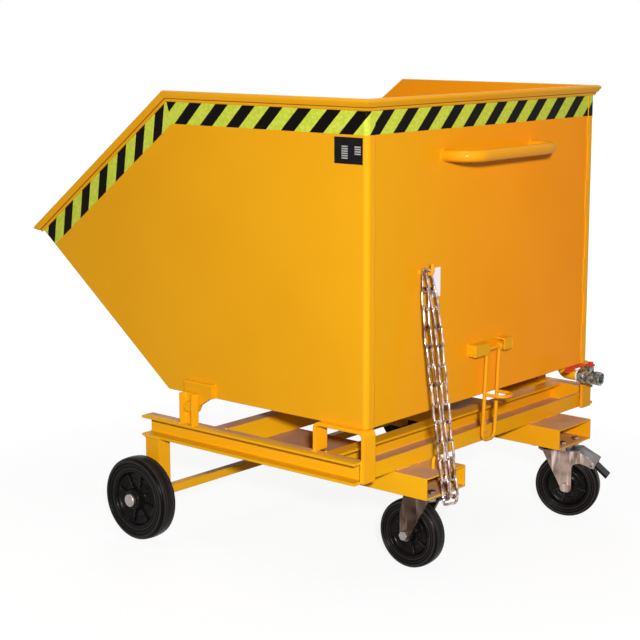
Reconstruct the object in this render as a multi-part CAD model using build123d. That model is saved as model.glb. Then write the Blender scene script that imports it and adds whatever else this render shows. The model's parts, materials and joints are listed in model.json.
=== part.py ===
from build123d import *
import os
from math import cos, hypot, radians, sin, sqrt

os.makedirs("parts", exist_ok=True)

# place of the rear flanges of the box along x; the ground is z = 0
rear_x = 457.17

# box: sheet steel, lengths measured forward from the rear flanges
box_half_width = 450.0
sheet = 3.0
floor_z = 355.0
rim_top_z = 1060.0
bottom_length = 605.0
knuckle_length = 604.0
lip_length = 1067.0
lip_z = 713.0
floor_bend = 14.0
corner_bend = 12.0
corner_flange = 26.0
panel_overlap = 30.0

# folded rim
rim_out = 12.0
rim_drop = 25.0
rim_wall = 2.5
rim_nose_half = 3.5
rim_nose_step = 1.5
rim_nose_fall = 0.5
rim_spare = 40.0

# hazard tape, type plate, tag
tape_width = 50.0
tape_thick = 0.4
tape_end_gap = 1.5
plate_thick = 1.0
type_plate_rear = 12.0
type_plate_length = 77.0
type_plate_height = 56.0
type_plate_top_z = 979.0
tag_width = 30.0
tag_height = 66.0
tag_y = -201.0
tag_top_z = 678.0

# push handle
handle_radius = 13.45
handle_half = 175.0
handle_reach = 70.0
handle_z = 926.0
handle_bend = 50.0

# frame channels
rail_bottom_z = 238.0
rail_height = 50.0
rail_depth = 36.0
rail_side_gap = 1.0
rail_web = 5.0
rail_flange = 6.0
rail_root = 4.0
rail_front_overhang = 12.0
rail_rear_gap = 3.0
front_cross_web = 417.0
rear_cross_web = 113.0
rear_bar_height = 35.0
rear_bar_thick = 8.0
rear_bar_set_back = 10.0

# fork pockets
pocket_inner_y = 196.0
pocket_width = 145.0
pocket_height = 50.0
pocket_wall = 4.0
pocket_front_length = 455.0
pocket_rear_length = 81.0

# tipping pivot
pivot_length = 512.0
pivot_z = 332.0
pivot_bolt_radius = 8.0
running_gap = 0.06
bolt_gap = 0.3
post_side_gap = 2.0
post_width = 42.0
post_above_floor = 8.0
post_flange = 5.0
post_root = 2.0
lug_side_gap = 4.0
lug_thick = 10.0
lug_radius = 20.0
lug_top_rear = 56.0
lug_mid_rear = 33.0
lug_mid_drop = 15.0
doubler_front = 540.0
doubler_rear = 450.0
doubler_height = 33.0
doubler_thick = 14.0
doubler_round = 3.0
hex_height = 10.0
hex_flats = 24.0

# rest brackets under the rear corners
bracket_thick = 8.0
bracket_width = 40.0
bracket_side_reach = 14.0
bracket_rear_reach = 5.0
bracket_length = 145.0
bracket_bend = 16.0

# front legs, axle and fixed wheels
axle_length = 628.0
leg_width = 44.0
leg_set_in = 1.0
leg_wall = 4.0
leg_bottom_z = 80.0
wheel_radius = 100.0
wheel_width = 50.0
wheel_side_gap = 11.0
beam_side = 20.0
axle_radius = 10.0
hub_half_length = 30.0
wheel_hub_radius = 24.0
wheel_bush_radius = 14.0
cap_radius = 15.5
cap_length = 9.0
side_play = 0.5

# shares of a wheel's radius or width that shape its section, the same for both sizes of wheel
bead_share = 0.72
wall_share = 0.93
shoulder_share = 0.985
shoulder_width_share = 0.4
tread_width_share = 0.27
bead_width_share = 0.42
web_share = 0.12
ring_share = 0.88
flange_share = 0.95
hub_taper = 1.12
rib_height_share = 0.2
rib_half_share = 0.04
rib_sink = 1.0
rib_reach = 2.0
wheel_ribs = 6
rib_start = 0.25

# castors
castor_radius = 80.0
castor_tyre_width = 40.0
castor_trail = 35.0
castor_axis_length = 24.0
castor_left_angle = 181.9
castor_right_angle = 19.4
castor_plate_thick = 4.0
castor_plate_length = 105.0
castor_plate_width = 85.0
castor_bolt_x = 40.0
castor_bolt_y = 30.0
castor_bolt_radius = 5.0
castor_boss_height = 6.0
castor_boss_radius = 28.0
king_radius = 8.0
swivel_gap = 0.3
swivel_ring_height = 6.4
fork_sheet = 4.0
fork_inner = 26.0
fork_lip = 8.0
fork_lip_share = 0.62
castor_axle_radius = 6.0
castor_hub_half = 25.0
castor_hub_radius = 17.0
castor_bush_radius = 9.0
castor_hex_flats = 17.0
castor_bolt_head = 6.4
castor_nut_height = 8.0
king_head_height = 3.2
king_head_share = 1.5
crown_half = 40.0
crown_step = 14.0
crown_ring_radius = 30.0
fork_foot_radius = 14.0
fork_round_share = 0.8
fork_shoulder_drop = 34.0
axle_hex_flats = 19.0
axle_hex_height = 8.0

# foot brake on the right castor: distances along the fork from the swivel axis, heights above the ground
brake_hinge_x = 99.0
brake_hinge_z = 141.0
brake_pin_radius = 4.0
brake_pin_overhang = 5.0
brake_knee_x = 70.0
brake_knee_z = 143.0
brake_arch_z = 138.0
brake_arch_round = 12.0
brake_nose_x = 104.0
brake_nose_z = 132.0
brake_tip_x = 110.0
brake_tip_z = 146.0
brake_top_x = 66.0
brake_cover_thick = 3.0
brake_cover_gap = 2.0
brake_cover_lead = 1.0
pedal_half = 20.0
pedal_boss = 8.0
pedal_reach = 34.0
pedal_drop = 33.0
pedal_thick = 6.4
pedal_end = 5.0
pedal_boss_play = 1.0
pedal_front = 2.0
pedal_root = 4.0
pedal_top = 6.0
pedal_nose = 4.0

# latch
latch_pin_x = 10.0
latch_pin_z = 464.0
latch_pin_radius = 5.0
latch_left_y = -76.0
latch_right_y = 68.0
latch_bracket_depth = 22.0
latch_bracket_rise = 19.0
latch_bracket_drop = 28.0
latch_sheet = 4.0
latch_tab_gap = 1.5
bail_radius = 4.5
bail_half = 25.0
bail_top_y = 9.0
bail_low_y = -5.0
bail_bottom_z = 246.0
bail_bend = 18.0
bail_eye_radius = 9.5
loop_reach = 62.0
loop_z = 357.0
loop_radius = 4.2
loop_bend = 22.0
tongue_thick = 10.0
tongue_reach = 14.0
tongue_rise = 12.0
tongue_height = 54.0
tongue_play = 1.3
pin_head = 5.0
pin_overhang = 14.0
pin_head_share = 1.6
bail_pin_gap = 2.0
cotter_radius = 1.3
cotter_bend = 4.0
cotter_long = 16.0
cotter_rise = 14.0
cotter_width = 9.0
cotter_short = 10.0

# drain valve
drain_y = 380.0
drain_x = -30.0
drain_z = 334.0
pipe_radius = 13.45
pipe_bore = 10.5
pipe_end_x = 18.0
seal_thick = 4.0
seal_radius = 17.0
valve_length = 62.0
valve_radius = 16.0
valve_flats = 31.0
valve_bore = 9.5
valve_thread_radius = 12.06
valve_thread_length = 14.0
ball_radius = 13.0
seat_length = 6.0
seat_ring = 7.5
seat_gap = 0.05
neck_radius = 9.0
neck_gap = 3.0
stem_radius = 5.0
stem_tang_half = 2.9
stem_tang_width = 4.0
stem_slot_half = 3.0
stem_tang_drop = 3.0
stem_overlap = 1.0
stem_over = 7.0
stem_nut_flats = 14.0
stem_nut_height = 6.0
lever_z = 364.0
lever_length = 118.0
lever_width = 18.0
lever_thick = 3.0
lever_flat = 14.0
lever_ramp = 34.0
lever_rise = 8.0
lever_dip = 24.0
lever_end_rise = 2.0
lever_rim = 2.0
elbow_spare = 1.0
lever_round_share = 0.45

# safety chain
chain_wire = 6.0
chain_pitch = 41.7
chain_inside_length = 42.0
chain_inside_width = 12.0
chain_links = 12
chain_split = 8
chain_spread = (-1.0, 8.5, 15.5, 19.5, 20.9, 20.9, 20.9, 20.9, 20.5, 19.5, 18.2, 16.6, 14.9)
chain_hook_offset = 4.7
chain_hook_run = 8
chain_top = (16.0, -262.0, 674.0)
chain_bottom = (112.0, -291.0, 166.0)
hook_rod = 4.5
chain_hook_play = 0.9
chain_low_play = 0.3
hook_reach = 32.0
hook_rise = 24.0
hook_bend_spare = 2.0
eye_x = 42.0
eye_y = -252.0
eye_rod = 4.0
eye_half = 13.0
eye_height = 24.0
eye_bend = 9.0
link_edge_share = 0.27

# small overlap of cutting tools past a face
past = 1.0

rear_wall_x = rear_x - sheet
rail_top_z = rail_bottom_z + rail_height
pocket_bottom_z = rail_bottom_z - pocket_height
pocket_mid_y = pocket_inner_y + pocket_width / 2
rail_inner_y = box_half_width + rail_side_gap
rail_outer_y = rail_inner_y + rail_depth
lug_inner_y = box_half_width + lug_side_gap
lug_outer_y = lug_inner_y + lug_thick
post_inner_y = lug_outer_y + post_side_gap
bracket_outer_y = box_half_width + bracket_side_reach
leg_inner_y = rail_inner_y - leg_set_in
leg_outer_y = rail_outer_y
wheel_mid_y = leg_outer_y + wheel_side_gap + hub_half_length
pivot_x = rear_x - pivot_length
axle_x = rear_x - axle_length
rail_front_length = axle_length + leg_width / 2 + rail_front_overhang


def node(name, *shapes):
    solids = [solid for shape in shapes for solid in shape.solids()]
    export_step(Compound(children=solids), "parts/" + name + ".step")


def mirrored(shape):
    return mirror(shape, about=Plane.XZ)


def block(x0, x1, y0, y1, z0, z1):
    middle = Pos((x0 + x1) / 2, (y0 + y1) / 2, (z0 + z1) / 2)
    return middle * Box(x1 - x0, y1 - y0, z1 - z0)


def cylinder_y(x, z, radius, y0, y1):
    return Pos(x, (y0 + y1) / 2, z) * Rot(90, 0, 0) * Cylinder(radius, y1 - y0)


def cylinder_x(y, z, radius, x0, x1):
    return Pos((x0 + x1) / 2, y, z) * Rot(0, 90, 0) * Cylinder(radius, x1 - x0)


def cylinder_z(x, y, radius, z0, z1):
    return Pos(x, y, (z0 + z1) / 2) * Cylinder(radius, z1 - z0)


def hexagon_y(x, z, flats, y0, y1):
    face = RegularPolygon(flats / 2, 6, major_radius=False)
    return Pos(x, y1, z) * Rot(90, 0, 0) * extrude(face, amount=y1 - y0)


def hexagon_z(x, y, flats, z0, z1):
    return Pos(x, y, z0) * extrude(RegularPolygon(flats / 2, 6, major_radius=False), amount=z1 - z0)


def slab(points, y0, y1, rounds=()):
    # flat plate cut to an outline in x and z, with chosen corners rounded
    face = make_face(Polyline(*points, close=True))
    for index, radius in rounds:
        x, z = points[index]
        corner = [v for v in face.vertices() if hypot(v.X - x, v.Y - z) < 0.01]
        face = fillet(corner, radius)
    return Pos(0, y1, 0) * extrude(Plane.XZ * face, amount=y1 - y0)


def meet(p, d, q, e):
    # crossing of two lines given by point and direction
    cross = d[0] * e[1] - d[1] * e[0]
    along = ((q[0] - p[0]) * e[1] - (q[1] - p[1]) * e[0]) / cross
    return (p[0] + along * d[0], p[1] + along * d[1])


def unit(a, b):
    length = hypot(b[0] - a[0], b[1] - a[1])
    return ((b[0] - a[0]) / length, (b[1] - a[1]) / length)


def moved(p, n, distance):
    return (p[0] + n[0] * distance, p[1] + n[1] * distance)


def bent_rod(points, bend, radius):
    path = FilletPolyline(*points, radius=bend)
    return sweep(Plane(origin=path @ 0, z_dir=path % 0) * Circle(radius), path=path)


def channel(height, depth, web, flange, root):
    outline = [(0, 0), (depth, 0), (depth, flange), (web, flange), (web, height - flange),
               (depth, height - flange), (depth, height), (0, height)]
    face = make_face(Polyline(*outline, close=True))
    inner = [v for v in face.vertices() if abs(v.X - web) < 0.01]
    return fillet(inner, root)


# side outline of the box, as x and z
floor_rear = (rear_x - 2 * sheet, floor_z)
floor_front = (rear_x - bottom_length, floor_z)
lip = (rear_x - lip_length, lip_z)
knuckle = (rear_x - knuckle_length, rim_top_z)
rim_rear = (rear_x, rim_top_z)
level = (-1.0, 0.0)
slant = unit(knuckle, lip)
slope = unit(floor_front, lip)
slant_up = (slant[1], -slant[0])
slope_in = (-slope[1], slope[0]) if slope[1] < 0 else (slope[1], -slope[0])


def below_rim(drop):
    # the line that runs a given distance under the top edge: rear, knuckle, lip
    high = (rim_rear[0], rim_top_z - drop)
    low = moved(lip, slant_up, -drop)
    return high, meet(high, level, low, slant), meet(low, slant, floor_front, slope)


panel_top = below_rim(sheet)
side_outline = [(rear_x - panel_overlap, floor_z), floor_front, panel_top[2], panel_top[1],
                (rear_x - panel_overlap, panel_top[0][1])]
side_panel = slab(side_outline, -box_half_width, sheet - box_half_width, [(1, floor_bend)])
corner_face = make_face(Polyline(
    (rear_x - panel_overlap, -box_half_width), (rear_x, -box_half_width),
    (rear_x, corner_flange - box_half_width), (rear_x - sheet, corner_flange - box_half_width),
    (rear_x - sheet, sheet - box_half_width), (rear_x - panel_overlap, sheet - box_half_width), close=True))
corner_outside = [v for v in corner_face.vertices()
                  if hypot(v.X - rear_x, v.Y + box_half_width) < 0.01]
corner_face = fillet(corner_outside, corner_bend)
corner_inside = [v for v in corner_face.vertices()
                 if hypot(v.X - rear_x + sheet, v.Y + box_half_width - sheet) < 0.01]
corner_face = fillet(corner_inside, corner_bend - sheet)
corner_fold = Pos(0, 0, floor_z) * extrude(corner_face, amount=panel_top[0][1] - floor_z)
side_panel = side_panel + corner_fold
node("side_panel_left", side_panel)
node("side_panel_right", mirrored(side_panel))

wall_half = box_half_width - corner_bend
node("rear_wall", block(rear_wall_x - sheet, rear_wall_x, -wall_half, wall_half, floor_z, panel_top[0][1]))

floor_in = (0.0, 1.0)
inner_front = meet(moved(floor_rear, floor_in, sheet), level, moved(floor_front, slope_in, sheet), slope)
inner_lip = meet(moved(floor_front, slope_in, sheet), slope, panel_top[2], slant)
floor_outline = [floor_rear, floor_front, panel_top[2], inner_lip, inner_front,
                 moved(floor_rear, floor_in, sheet)]
floor_half = box_half_width - sheet
floor_sheet = slab(floor_outline, -floor_half, floor_half,
                   [(1, floor_bend), (4, floor_bend - sheet)])
floor_sheet -= cylinder_z(rear_x + drain_x, drain_y, pipe_bore, floor_z - sheet, floor_z + 2 * sheet)
floor_sheet -= corner_fold
floor_sheet -= mirrored(corner_fold)
node("floor_sheet", floor_sheet)


def rim_face(cap, lean):
    # section of the folded rim: first number outward, second number up; the wall may lean
    nose = rim_out - rim_nose_step
    outline = [(-cap, 0), (rim_out - 2 * rim_nose_half, 0), (nose, -rim_nose_step - rim_nose_fall),
               (rim_out, -rim_nose_step - rim_nose_half), (nose, -2 * rim_nose_half - rim_nose_step),
               (-lean * rim_drop, -rim_drop), (-lean * sheet, -sheet), (-cap - lean * sheet, -sheet)]
    hollow = [(rim_wall, -rim_wall), (nose - 2 * rim_wall, -rim_wall),
              (nose - rim_wall, -rim_wall - rim_nose_half),
              (rim_wall - lean * (rim_drop - 2 * rim_wall), 2 * rim_wall - rim_drop)]
    return make_face(Polyline(*outline, close=True)) - make_face(Polyline(*hollow, close=True))


def rim_bar(start, along, outward, up, length, cap, lean):
    plane = Plane(origin=start, x_dir=outward, z_dir=Vector(*outward).cross(Vector(*up)))
    return extrude(plane * rim_face(cap, lean), amount=length, dir=along)


def mitre(shape, point, normal, keep):
    return split(shape, bisect_by=Plane(origin=point, z_dir=normal), keep=keep)


half = box_half_width
corner = (rear_x, -half, rim_top_z)
knee = (knuckle[0], -half, knuckle[1])
tip = (lip[0], -half, lip[1])
slant_3d = (slant[0], 0.0, slant[1])
slant_up_3d = (slant_up[0], 0.0, slant_up[1])
left = (0.0, -1.0, 0.0)
bisector = (slant[0] - 1.0, 0.0, slant[1])
top_bar = rim_bar((rear_x + rim_spare, -half, rim_top_z), (-1, 0, 0), left, (0, 0, 1),
                  knuckle_length + 2 * rim_spare, sheet, 0.0)
top_bar = mitre(top_bar, corner, (1, 1, 0), Keep.BOTTOM)
top_bar = mitre(top_bar, knee, bisector, Keep.BOTTOM)
slant_start = (knuckle[0] - slant[0] * rim_spare, -half, knuckle[1] - slant[1] * rim_spare)
slant_run = hypot(lip[0] - knuckle[0], lip[1] - knuckle[1])
slant_bar = rim_bar(slant_start, slant_3d, left, slant_up_3d, slant_run + 2 * rim_spare, sheet, 0.0)
slant_bar = mitre(slant_bar, knee, bisector, Keep.TOP)
slant_bar = mitre(slant_bar, tip, (slant[0], 1.0, slant[1]), Keep.BOTTOM)
rim_side = top_bar + slant_bar
node("rim_sides", rim_side, mirrored(rim_side))

rear_bar = rim_bar((rear_x, -half - rim_spare, rim_top_z), (0, 1, 0), (1, 0, 0), (0, 0, 1),
                   2 * (half + rim_spare), 2 * sheet, 0.0)
rear_bar = mitre(rear_bar, corner, (1, 1, 0), Keep.TOP)
rear_bar = mitre(rear_bar, (rear_x, half, rim_top_z), (1, -1, 0), Keep.TOP)
flange_edge_y = half - corner_flange
rear_bar += block(rear_wall_x, rear_x, -flange_edge_y, flange_edge_y,
                  rim_top_z - rim_drop, rim_top_z - sheet)
lip_lean = -(slope[0] * slant[0] + slope[1] * slant[1]) / (slope[0] * slant_up[0] + slope[1] * slant_up[1])
lip_bar = rim_bar((lip[0], -half - rim_spare, lip[1]), (0, 1, 0), slant_3d, slant_up_3d,
                  2 * (half + rim_spare), sheet, -lip_lean)
lip_bar = mitre(lip_bar, tip, (slant[0], 1.0, slant[1]), Keep.TOP)
lip_bar = mitre(lip_bar, (lip[0], half, lip[1]), (slant[0], -1.0, slant[1]), Keep.TOP)
node("rim_ends", rear_bar, lip_bar)

tape_high = below_rim(rim_drop + tape_thick)
tape_low = below_rim(rim_drop + tape_thick + tape_width)
tape_side = slab([(rear_x - corner_bend, tape_high[0][1]), tape_high[1],
                  moved(tape_high[2], slant, -tape_end_gap), moved(tape_low[2], slant, -tape_end_gap),
                  tape_low[1], (rear_x - corner_bend, tape_low[0][1])], -half - tape_thick, -half)
ring = Circle(corner_bend + tape_thick) - Circle(corner_bend)
quarter_reach = 2 * corner_bend
quarter = Pos(quarter_reach / 2, -quarter_reach / 2) * Rectangle(quarter_reach, quarter_reach)
tape_bend = extrude(Pos(rear_x - corner_bend, corner_bend - half) * (ring & quarter), amount=tape_width)
tape_fold = Pos(0, 0, tape_low[0][1]) * tape_bend
tape_fold += block(rear_x, rear_x + tape_thick, corner_bend - half, -flange_edge_y,
                   tape_low[0][1], tape_high[0][1])
tape_side += tape_fold
tape_rear = block(rear_wall_x, rear_wall_x + tape_thick, -flange_edge_y, flange_edge_y,
                  tape_low[0][1], tape_high[0][1])
node("hazard_tape", tape_side, mirrored(tape_side), tape_rear)
plate_rear_x = rear_x - type_plate_rear
node("type_plate", block(plate_rear_x - type_plate_length, plate_rear_x, -half - plate_thick, -half,
                         type_plate_top_z - type_plate_height, type_plate_top_z))
node("tag", block(rear_wall_x, rear_wall_x + plate_thick, tag_y - tag_width / 2, tag_y + tag_width / 2,
                  tag_top_z - tag_height, tag_top_z))

handle_path = [(rear_wall_x, -handle_half, handle_z), (rear_x + handle_reach, -handle_half, handle_z),
               (rear_x + handle_reach, handle_half, handle_z), (rear_wall_x, handle_half, handle_z)]
node("push_handle", bent_rod(handle_path, handle_bend, handle_radius))

rail_face = channel(rail_height, rail_depth, rail_web, rail_flange, rail_root)
rail_rear_x = rear_x - rail_rear_gap
rail_plane = Plane(origin=(rail_rear_x, -rail_inner_y, rail_bottom_z), x_dir=(0, -1, 0), z_dir=(-1, 0, 0))
rail = extrude(rail_plane * rail_face, amount=rail_front_length - rail_rear_gap)
node("side_rail_left", rail)
node("side_rail_right", mirrored(rail))
front_plane = Plane(origin=(rear_x - front_cross_web, -rail_inner_y, rail_bottom_z),
                    x_dir=(-1, 0, 0), z_dir=(0, 1, 0))
node("front_cross_channel", extrude(front_plane * rail_face, amount=2 * rail_inner_y))
rear_plane = Plane(origin=(rear_x - rear_cross_web, rail_inner_y, rail_bottom_z),
                   x_dir=(1, 0, 0), z_dir=(0, -1, 0))
node("rear_cross_channel", extrude(rear_plane * rail_face, amount=2 * rail_inner_y))
bar_x = rear_x - rear_bar_set_back
node("rear_bar", block(bar_x - rear_bar_thick, bar_x, -rail_inner_y, rail_inner_y,
                       rail_bottom_z, rail_bottom_z + rear_bar_height))

castor_x = rear_x + castor_axis_length
castor_holes = [(castor_x + sx * castor_bolt_x, sy * castor_bolt_y) for sx in (-1, 1) for sy in (-1, 1)]
pocket_front_x = rear_x - pocket_front_length
pocket_rear_x = rear_x + pocket_rear_length
pocket_outer_y = pocket_inner_y + pocket_width
pocket = block(pocket_front_x, pocket_rear_x, -pocket_outer_y, -pocket_inner_y,
               pocket_bottom_z, rail_bottom_z)
pocket -= block(pocket_front_x - past, pocket_rear_x + past, pocket_wall - pocket_outer_y,
                -pocket_inner_y - pocket_wall, pocket_bottom_z + pocket_wall, rail_bottom_z - pocket_wall)
for x, y in castor_holes:
    pocket -= cylinder_z(x, y - pocket_mid_y, castor_bolt_radius + bolt_gap,
                         pocket_bottom_z - past, pocket_bottom_z + pocket_wall + past)
node("fork_pocket_left", pocket)
node("fork_pocket_right", mirrored(pocket))

post_face = channel(post_width, rail_outer_y - post_inner_y, rail_web, post_flange, post_root)
post_plane = Plane(origin=(pivot_x - post_width / 2, -post_inner_y, rail_top_z),
                   x_dir=(0, -1, 0), z_dir=(0, 0, 1))
post = extrude(post_plane * post_face, amount=floor_z + post_above_floor - rail_top_z)
post_web_y = post_inner_y + rail_web
post -= cylinder_y(pivot_x, pivot_z, pivot_bolt_radius + bolt_gap, -post_web_y - past, past - post_inner_y)
node("pivot_posts", post, mirrored(post))
bolt_nut_y = lug_inner_y - side_play
bolt = cylinder_y(pivot_x, pivot_z, pivot_bolt_radius, -post_web_y, hex_height - bolt_nut_y)
bolt += hexagon_y(pivot_x, pivot_z, hex_flats, -post_web_y - hex_height, -post_web_y)
bolt += hexagon_y(pivot_x, pivot_z, hex_flats, -bolt_nut_y, hex_height - bolt_nut_y)
node("pivot_bolts", bolt, mirrored(bolt))

lug_outline = [(pivot_x - lug_radius, floor_z), (pivot_x - lug_radius, pivot_z),
               (pivot_x + lug_radius, pivot_z), (pivot_x + lug_mid_rear, floor_z - lug_mid_drop),
               (pivot_x + lug_top_rear, floor_z)]
lug = slab(lug_outline, -lug_outer_y, -lug_inner_y)
lug += cylinder_y(pivot_x, pivot_z, lug_radius, -lug_outer_y, -lug_inner_y)
lug -= cylinder_y(pivot_x, pivot_z, pivot_bolt_radius + running_gap,
                  -lug_outer_y - past, past - lug_inner_y)
doubler = block(rear_x - doubler_front, rear_x - doubler_rear, -half - doubler_thick, -half,
                floor_z, floor_z + doubler_height)
doubler = chamfer(doubler.faces().sort_by(Axis.Y)[0].edges().sort_by(Axis.Z)[-1], doubler_round)
node("pivot_lugs", lug, doubler, mirrored(lug), mirrored(doubler))

bracket_x0 = rear_x + bracket_rear_reach - bracket_length
bracket_x1 = rear_x + bracket_rear_reach
bracket_outer = slab([(bracket_x0, rail_top_z), (bracket_x0, floor_z), (bracket_x1, floor_z),
                      (bracket_x1, rail_bottom_z), (bracket_x1 - bracket_thick, rail_bottom_z),
                      (bracket_x1 - bracket_thick, rail_top_z)],
                     -bracket_outer_y, bracket_width - bracket_outer_y,
                     [(1, bracket_bend), (2, bracket_bend)])
bracket_window = slab([(bracket_x0 + bracket_thick, rail_top_z - past),
                       (bracket_x0 + bracket_thick, floor_z - bracket_thick),
                       (bracket_x1 - bracket_thick, floor_z - bracket_thick),
                       (bracket_x1 - bracket_thick, rail_top_z - past)],
                      -bracket_outer_y - past, bracket_width - bracket_outer_y + past,
                      [(1, bracket_bend - bracket_thick), (2, bracket_bend - bracket_thick)])
bracket = bracket_outer - bracket_window
node("rest_brackets", bracket, mirrored(bracket))

leg_x0 = axle_x - leg_width / 2
leg_x1 = axle_x + leg_width / 2
leg = block(leg_x0, leg_x1, -leg_outer_y, -leg_inner_y, leg_bottom_z, rail_bottom_z)
leg -= block(leg_x0 + leg_wall, leg_x1 - leg_wall, leg_wall - leg_outer_y, -leg_inner_y - leg_wall,
             leg_bottom_z - past, rail_bottom_z + past)
leg -= cylinder_y(axle_x, wheel_radius, axle_radius + bolt_gap, -leg_outer_y - past, past - leg_inner_y)
node("front_legs", leg, mirrored(leg))
node("axle_beam", block(axle_x - beam_side / 2, axle_x + beam_side / 2, -leg_inner_y, leg_inner_y,
                        wheel_radius - beam_side / 2, wheel_radius + beam_side / 2))
hub_in_y = wheel_mid_y - hub_half_length
hub_out_y = wheel_mid_y + hub_half_length
stub = cylinder_y(axle_x, wheel_radius, axle_radius, -hub_out_y - side_play, -leg_inner_y)
node("axle_stubs", stub, mirrored(stub))
washer = cylinder_y(axle_x, wheel_radius, cap_radius, side_play - hub_in_y, -leg_outer_y)
washer -= cylinder_y(axle_x, wheel_radius, axle_radius, -hub_in_y, past - leg_outer_y)
cap_y = hub_out_y + side_play
cap = cylinder_y(axle_x, wheel_radius, cap_radius, -cap_y - cap_length, -cap_y)
cap = fillet(cap.edges().sort_by(Axis.Y)[0], cap_length / 2)
node("axle_fittings", washer, cap, mirrored(washer), mirrored(cap))


def turned(points):
    # ring about the y axis from an outline of radius and y
    return revolve(make_face(Polyline(*points, close=True)), axis=Axis.Y)


def wheel_pieces(radius, width, hub_half, hub_radius, bush_radius, bore_radius):
    # tyre, rim and bush about the y axis at the origin
    bead = radius * bead_share
    bead_half = width * bead_width_share
    wall = radius * wall_share
    shoulder = radius * shoulder_share
    shoulder_half = width * shoulder_width_share
    tread_half = width * tread_width_share
    tyre = turned([(bead, -bead_half), (wall, -width / 2), (shoulder, -shoulder_half),
                   (radius, -tread_half), (radius, tread_half), (shoulder, shoulder_half),
                   (wall, width / 2), (bead, bead_half)])
    web = width * web_share
    ring_in = bead * ring_share
    flange = bead * flange_share
    hub_foot = hub_radius * hub_taper
    rim = turned([(bush_radius, -hub_half), (hub_radius, -hub_half), (hub_foot, -web), (ring_in, -web),
                  (flange, -bead_half), (bead, -bead_half), (bead, bead_half), (flange, bead_half),
                  (ring_in, web), (hub_foot, web), (hub_radius, hub_half), (bush_radius, hub_half)])
    rib_top = web + width * rib_height_share
    rib_half = width * rib_half_share
    for index in range(wheel_ribs):
        for side in (-1, 1):
            y0, y1 = sorted((side * (web - rib_sink), side * rib_top))
            rib = block(hub_radius, ring_in + rib_reach, y0, y1, -rib_half, rib_half)
            rim += Rot(0, 360.0 * (index + rib_start) / wheel_ribs, 0) * rib
    bush = turned([(bore_radius, -hub_half), (bush_radius, -hub_half),
                   (bush_radius, hub_half), (bore_radius, hub_half)])
    return tyre, rim, bush


front_wheel = wheel_pieces(wheel_radius, wheel_width, hub_half_length, wheel_hub_radius,
                           wheel_bush_radius, axle_radius + running_gap)
for name, piece in zip(("tyre", "rim", "bush"), front_wheel):
    placed = Pos(axle_x, -wheel_mid_y, wheel_radius) * piece
    node("wheel_left_" + name, placed)
    node("wheel_right_" + name, mirrored(placed))

plate_bottom_z = pocket_bottom_z - castor_plate_thick
boss_bottom_z = plate_bottom_z - castor_boss_height
ring_top_z = boss_bottom_z - swivel_gap
crown_top_z = ring_top_z - swivel_ring_height
crown_bottom_z = crown_top_z - fork_sheet
king_head_top_z = crown_bottom_z - swivel_gap
fork_outer = fork_inner + fork_sheet
foot_z = castor_radius - fork_foot_radius
foot_front_x = castor_trail - fork_foot_radius
foot_rear_x = castor_trail + fork_foot_radius
head_z = pocket_bottom_z + pocket_wall
nut_low_z = plate_bottom_z - castor_nut_height


def castor_plate():
    # top plate with its boss and king pin, about the swivel axis
    plate = block(-castor_plate_length / 2, castor_plate_length / 2, -castor_plate_width / 2,
                  castor_plate_width / 2, plate_bottom_z, pocket_bottom_z)
    for x, y in castor_holes:
        plate -= cylinder_z(x - castor_x, y, castor_bolt_radius + bolt_gap,
                            plate_bottom_z - past, pocket_bottom_z + past)
    plate += cylinder_z(0, 0, castor_boss_radius, boss_bottom_z, plate_bottom_z)
    plate += cylinder_z(0, 0, king_radius, king_head_top_z, boss_bottom_z)
    plate += cylinder_z(0, 0, king_radius * king_head_share,
                        king_head_top_z - king_head_height, king_head_top_z)
    return plate


def castor_fork(braked):
    # pressed fork: crown, two arms and folded leading edges; a braked one reaches back to the pedal hinge
    crown = block(-crown_half, crown_half, -fork_outer, fork_outer, crown_bottom_z, crown_top_z)
    crown = fillet(crown.edges().filter_by(Axis.Z).sort_by(Axis.X)[:2], fork_outer * fork_round_share)
    crown += cylinder_z(0, 0, crown_ring_radius, crown_top_z, ring_top_z)
    crown -= cylinder_z(0, 0, king_radius + running_gap, crown_bottom_z - past, ring_top_z + past)
    arm = [(crown_step - crown_half, crown_top_z), (foot_front_x, castor_radius),
           (foot_front_x, foot_z), (foot_rear_x, foot_z)]
    foot_round = fork_foot_radius * fork_round_share
    rounds = [(2, foot_round), (3, foot_round)]
    if braked:
        arm += [(foot_rear_x, brake_arch_z), (brake_knee_x, brake_knee_z), (brake_nose_x, brake_nose_z),
                (brake_tip_x, brake_tip_z), (brake_top_x, crown_top_z)]
        rounds += [(4, brake_arch_round)]
    else:
        arm += [(foot_rear_x, crown_bottom_z - fork_shoulder_drop), (crown_half, crown_top_z)]
    fork = crown
    for y0, y1 in ((-fork_outer, -fork_inner), (fork_inner, fork_outer)):
        fork += slab(arm, y0, y1, rounds)
    lead = unit(arm[0], arm[1])
    lead_side = (-lead[1], lead[0])
    lip_run = fork_lip_share * hypot(arm[1][0] - arm[0][0], arm[1][1] - arm[0][1])
    lip_end = moved(arm[0], lead, lip_run)
    lip_points = [arm[0], lip_end, moved(lip_end, lead_side, fork_sheet),
                  moved(arm[0], lead_side, fork_sheet)]
    for y0, y1 in ((-fork_outer, fork_lip - fork_outer), (fork_outer - fork_lip, fork_outer)):
        fork += slab(lip_points, y0, y1)
    for y0, y1 in ((-fork_outer - past, past - fork_inner), (fork_inner - past, fork_outer + past)):
        fork -= cylinder_y(castor_trail, castor_radius, castor_axle_radius + bolt_gap, y0, y1)
    if braked:
        fork -= cylinder_y(brake_hinge_x, brake_hinge_z, brake_pin_radius + bolt_gap,
                           -fork_outer - past, fork_outer + past)
    return fork


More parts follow.
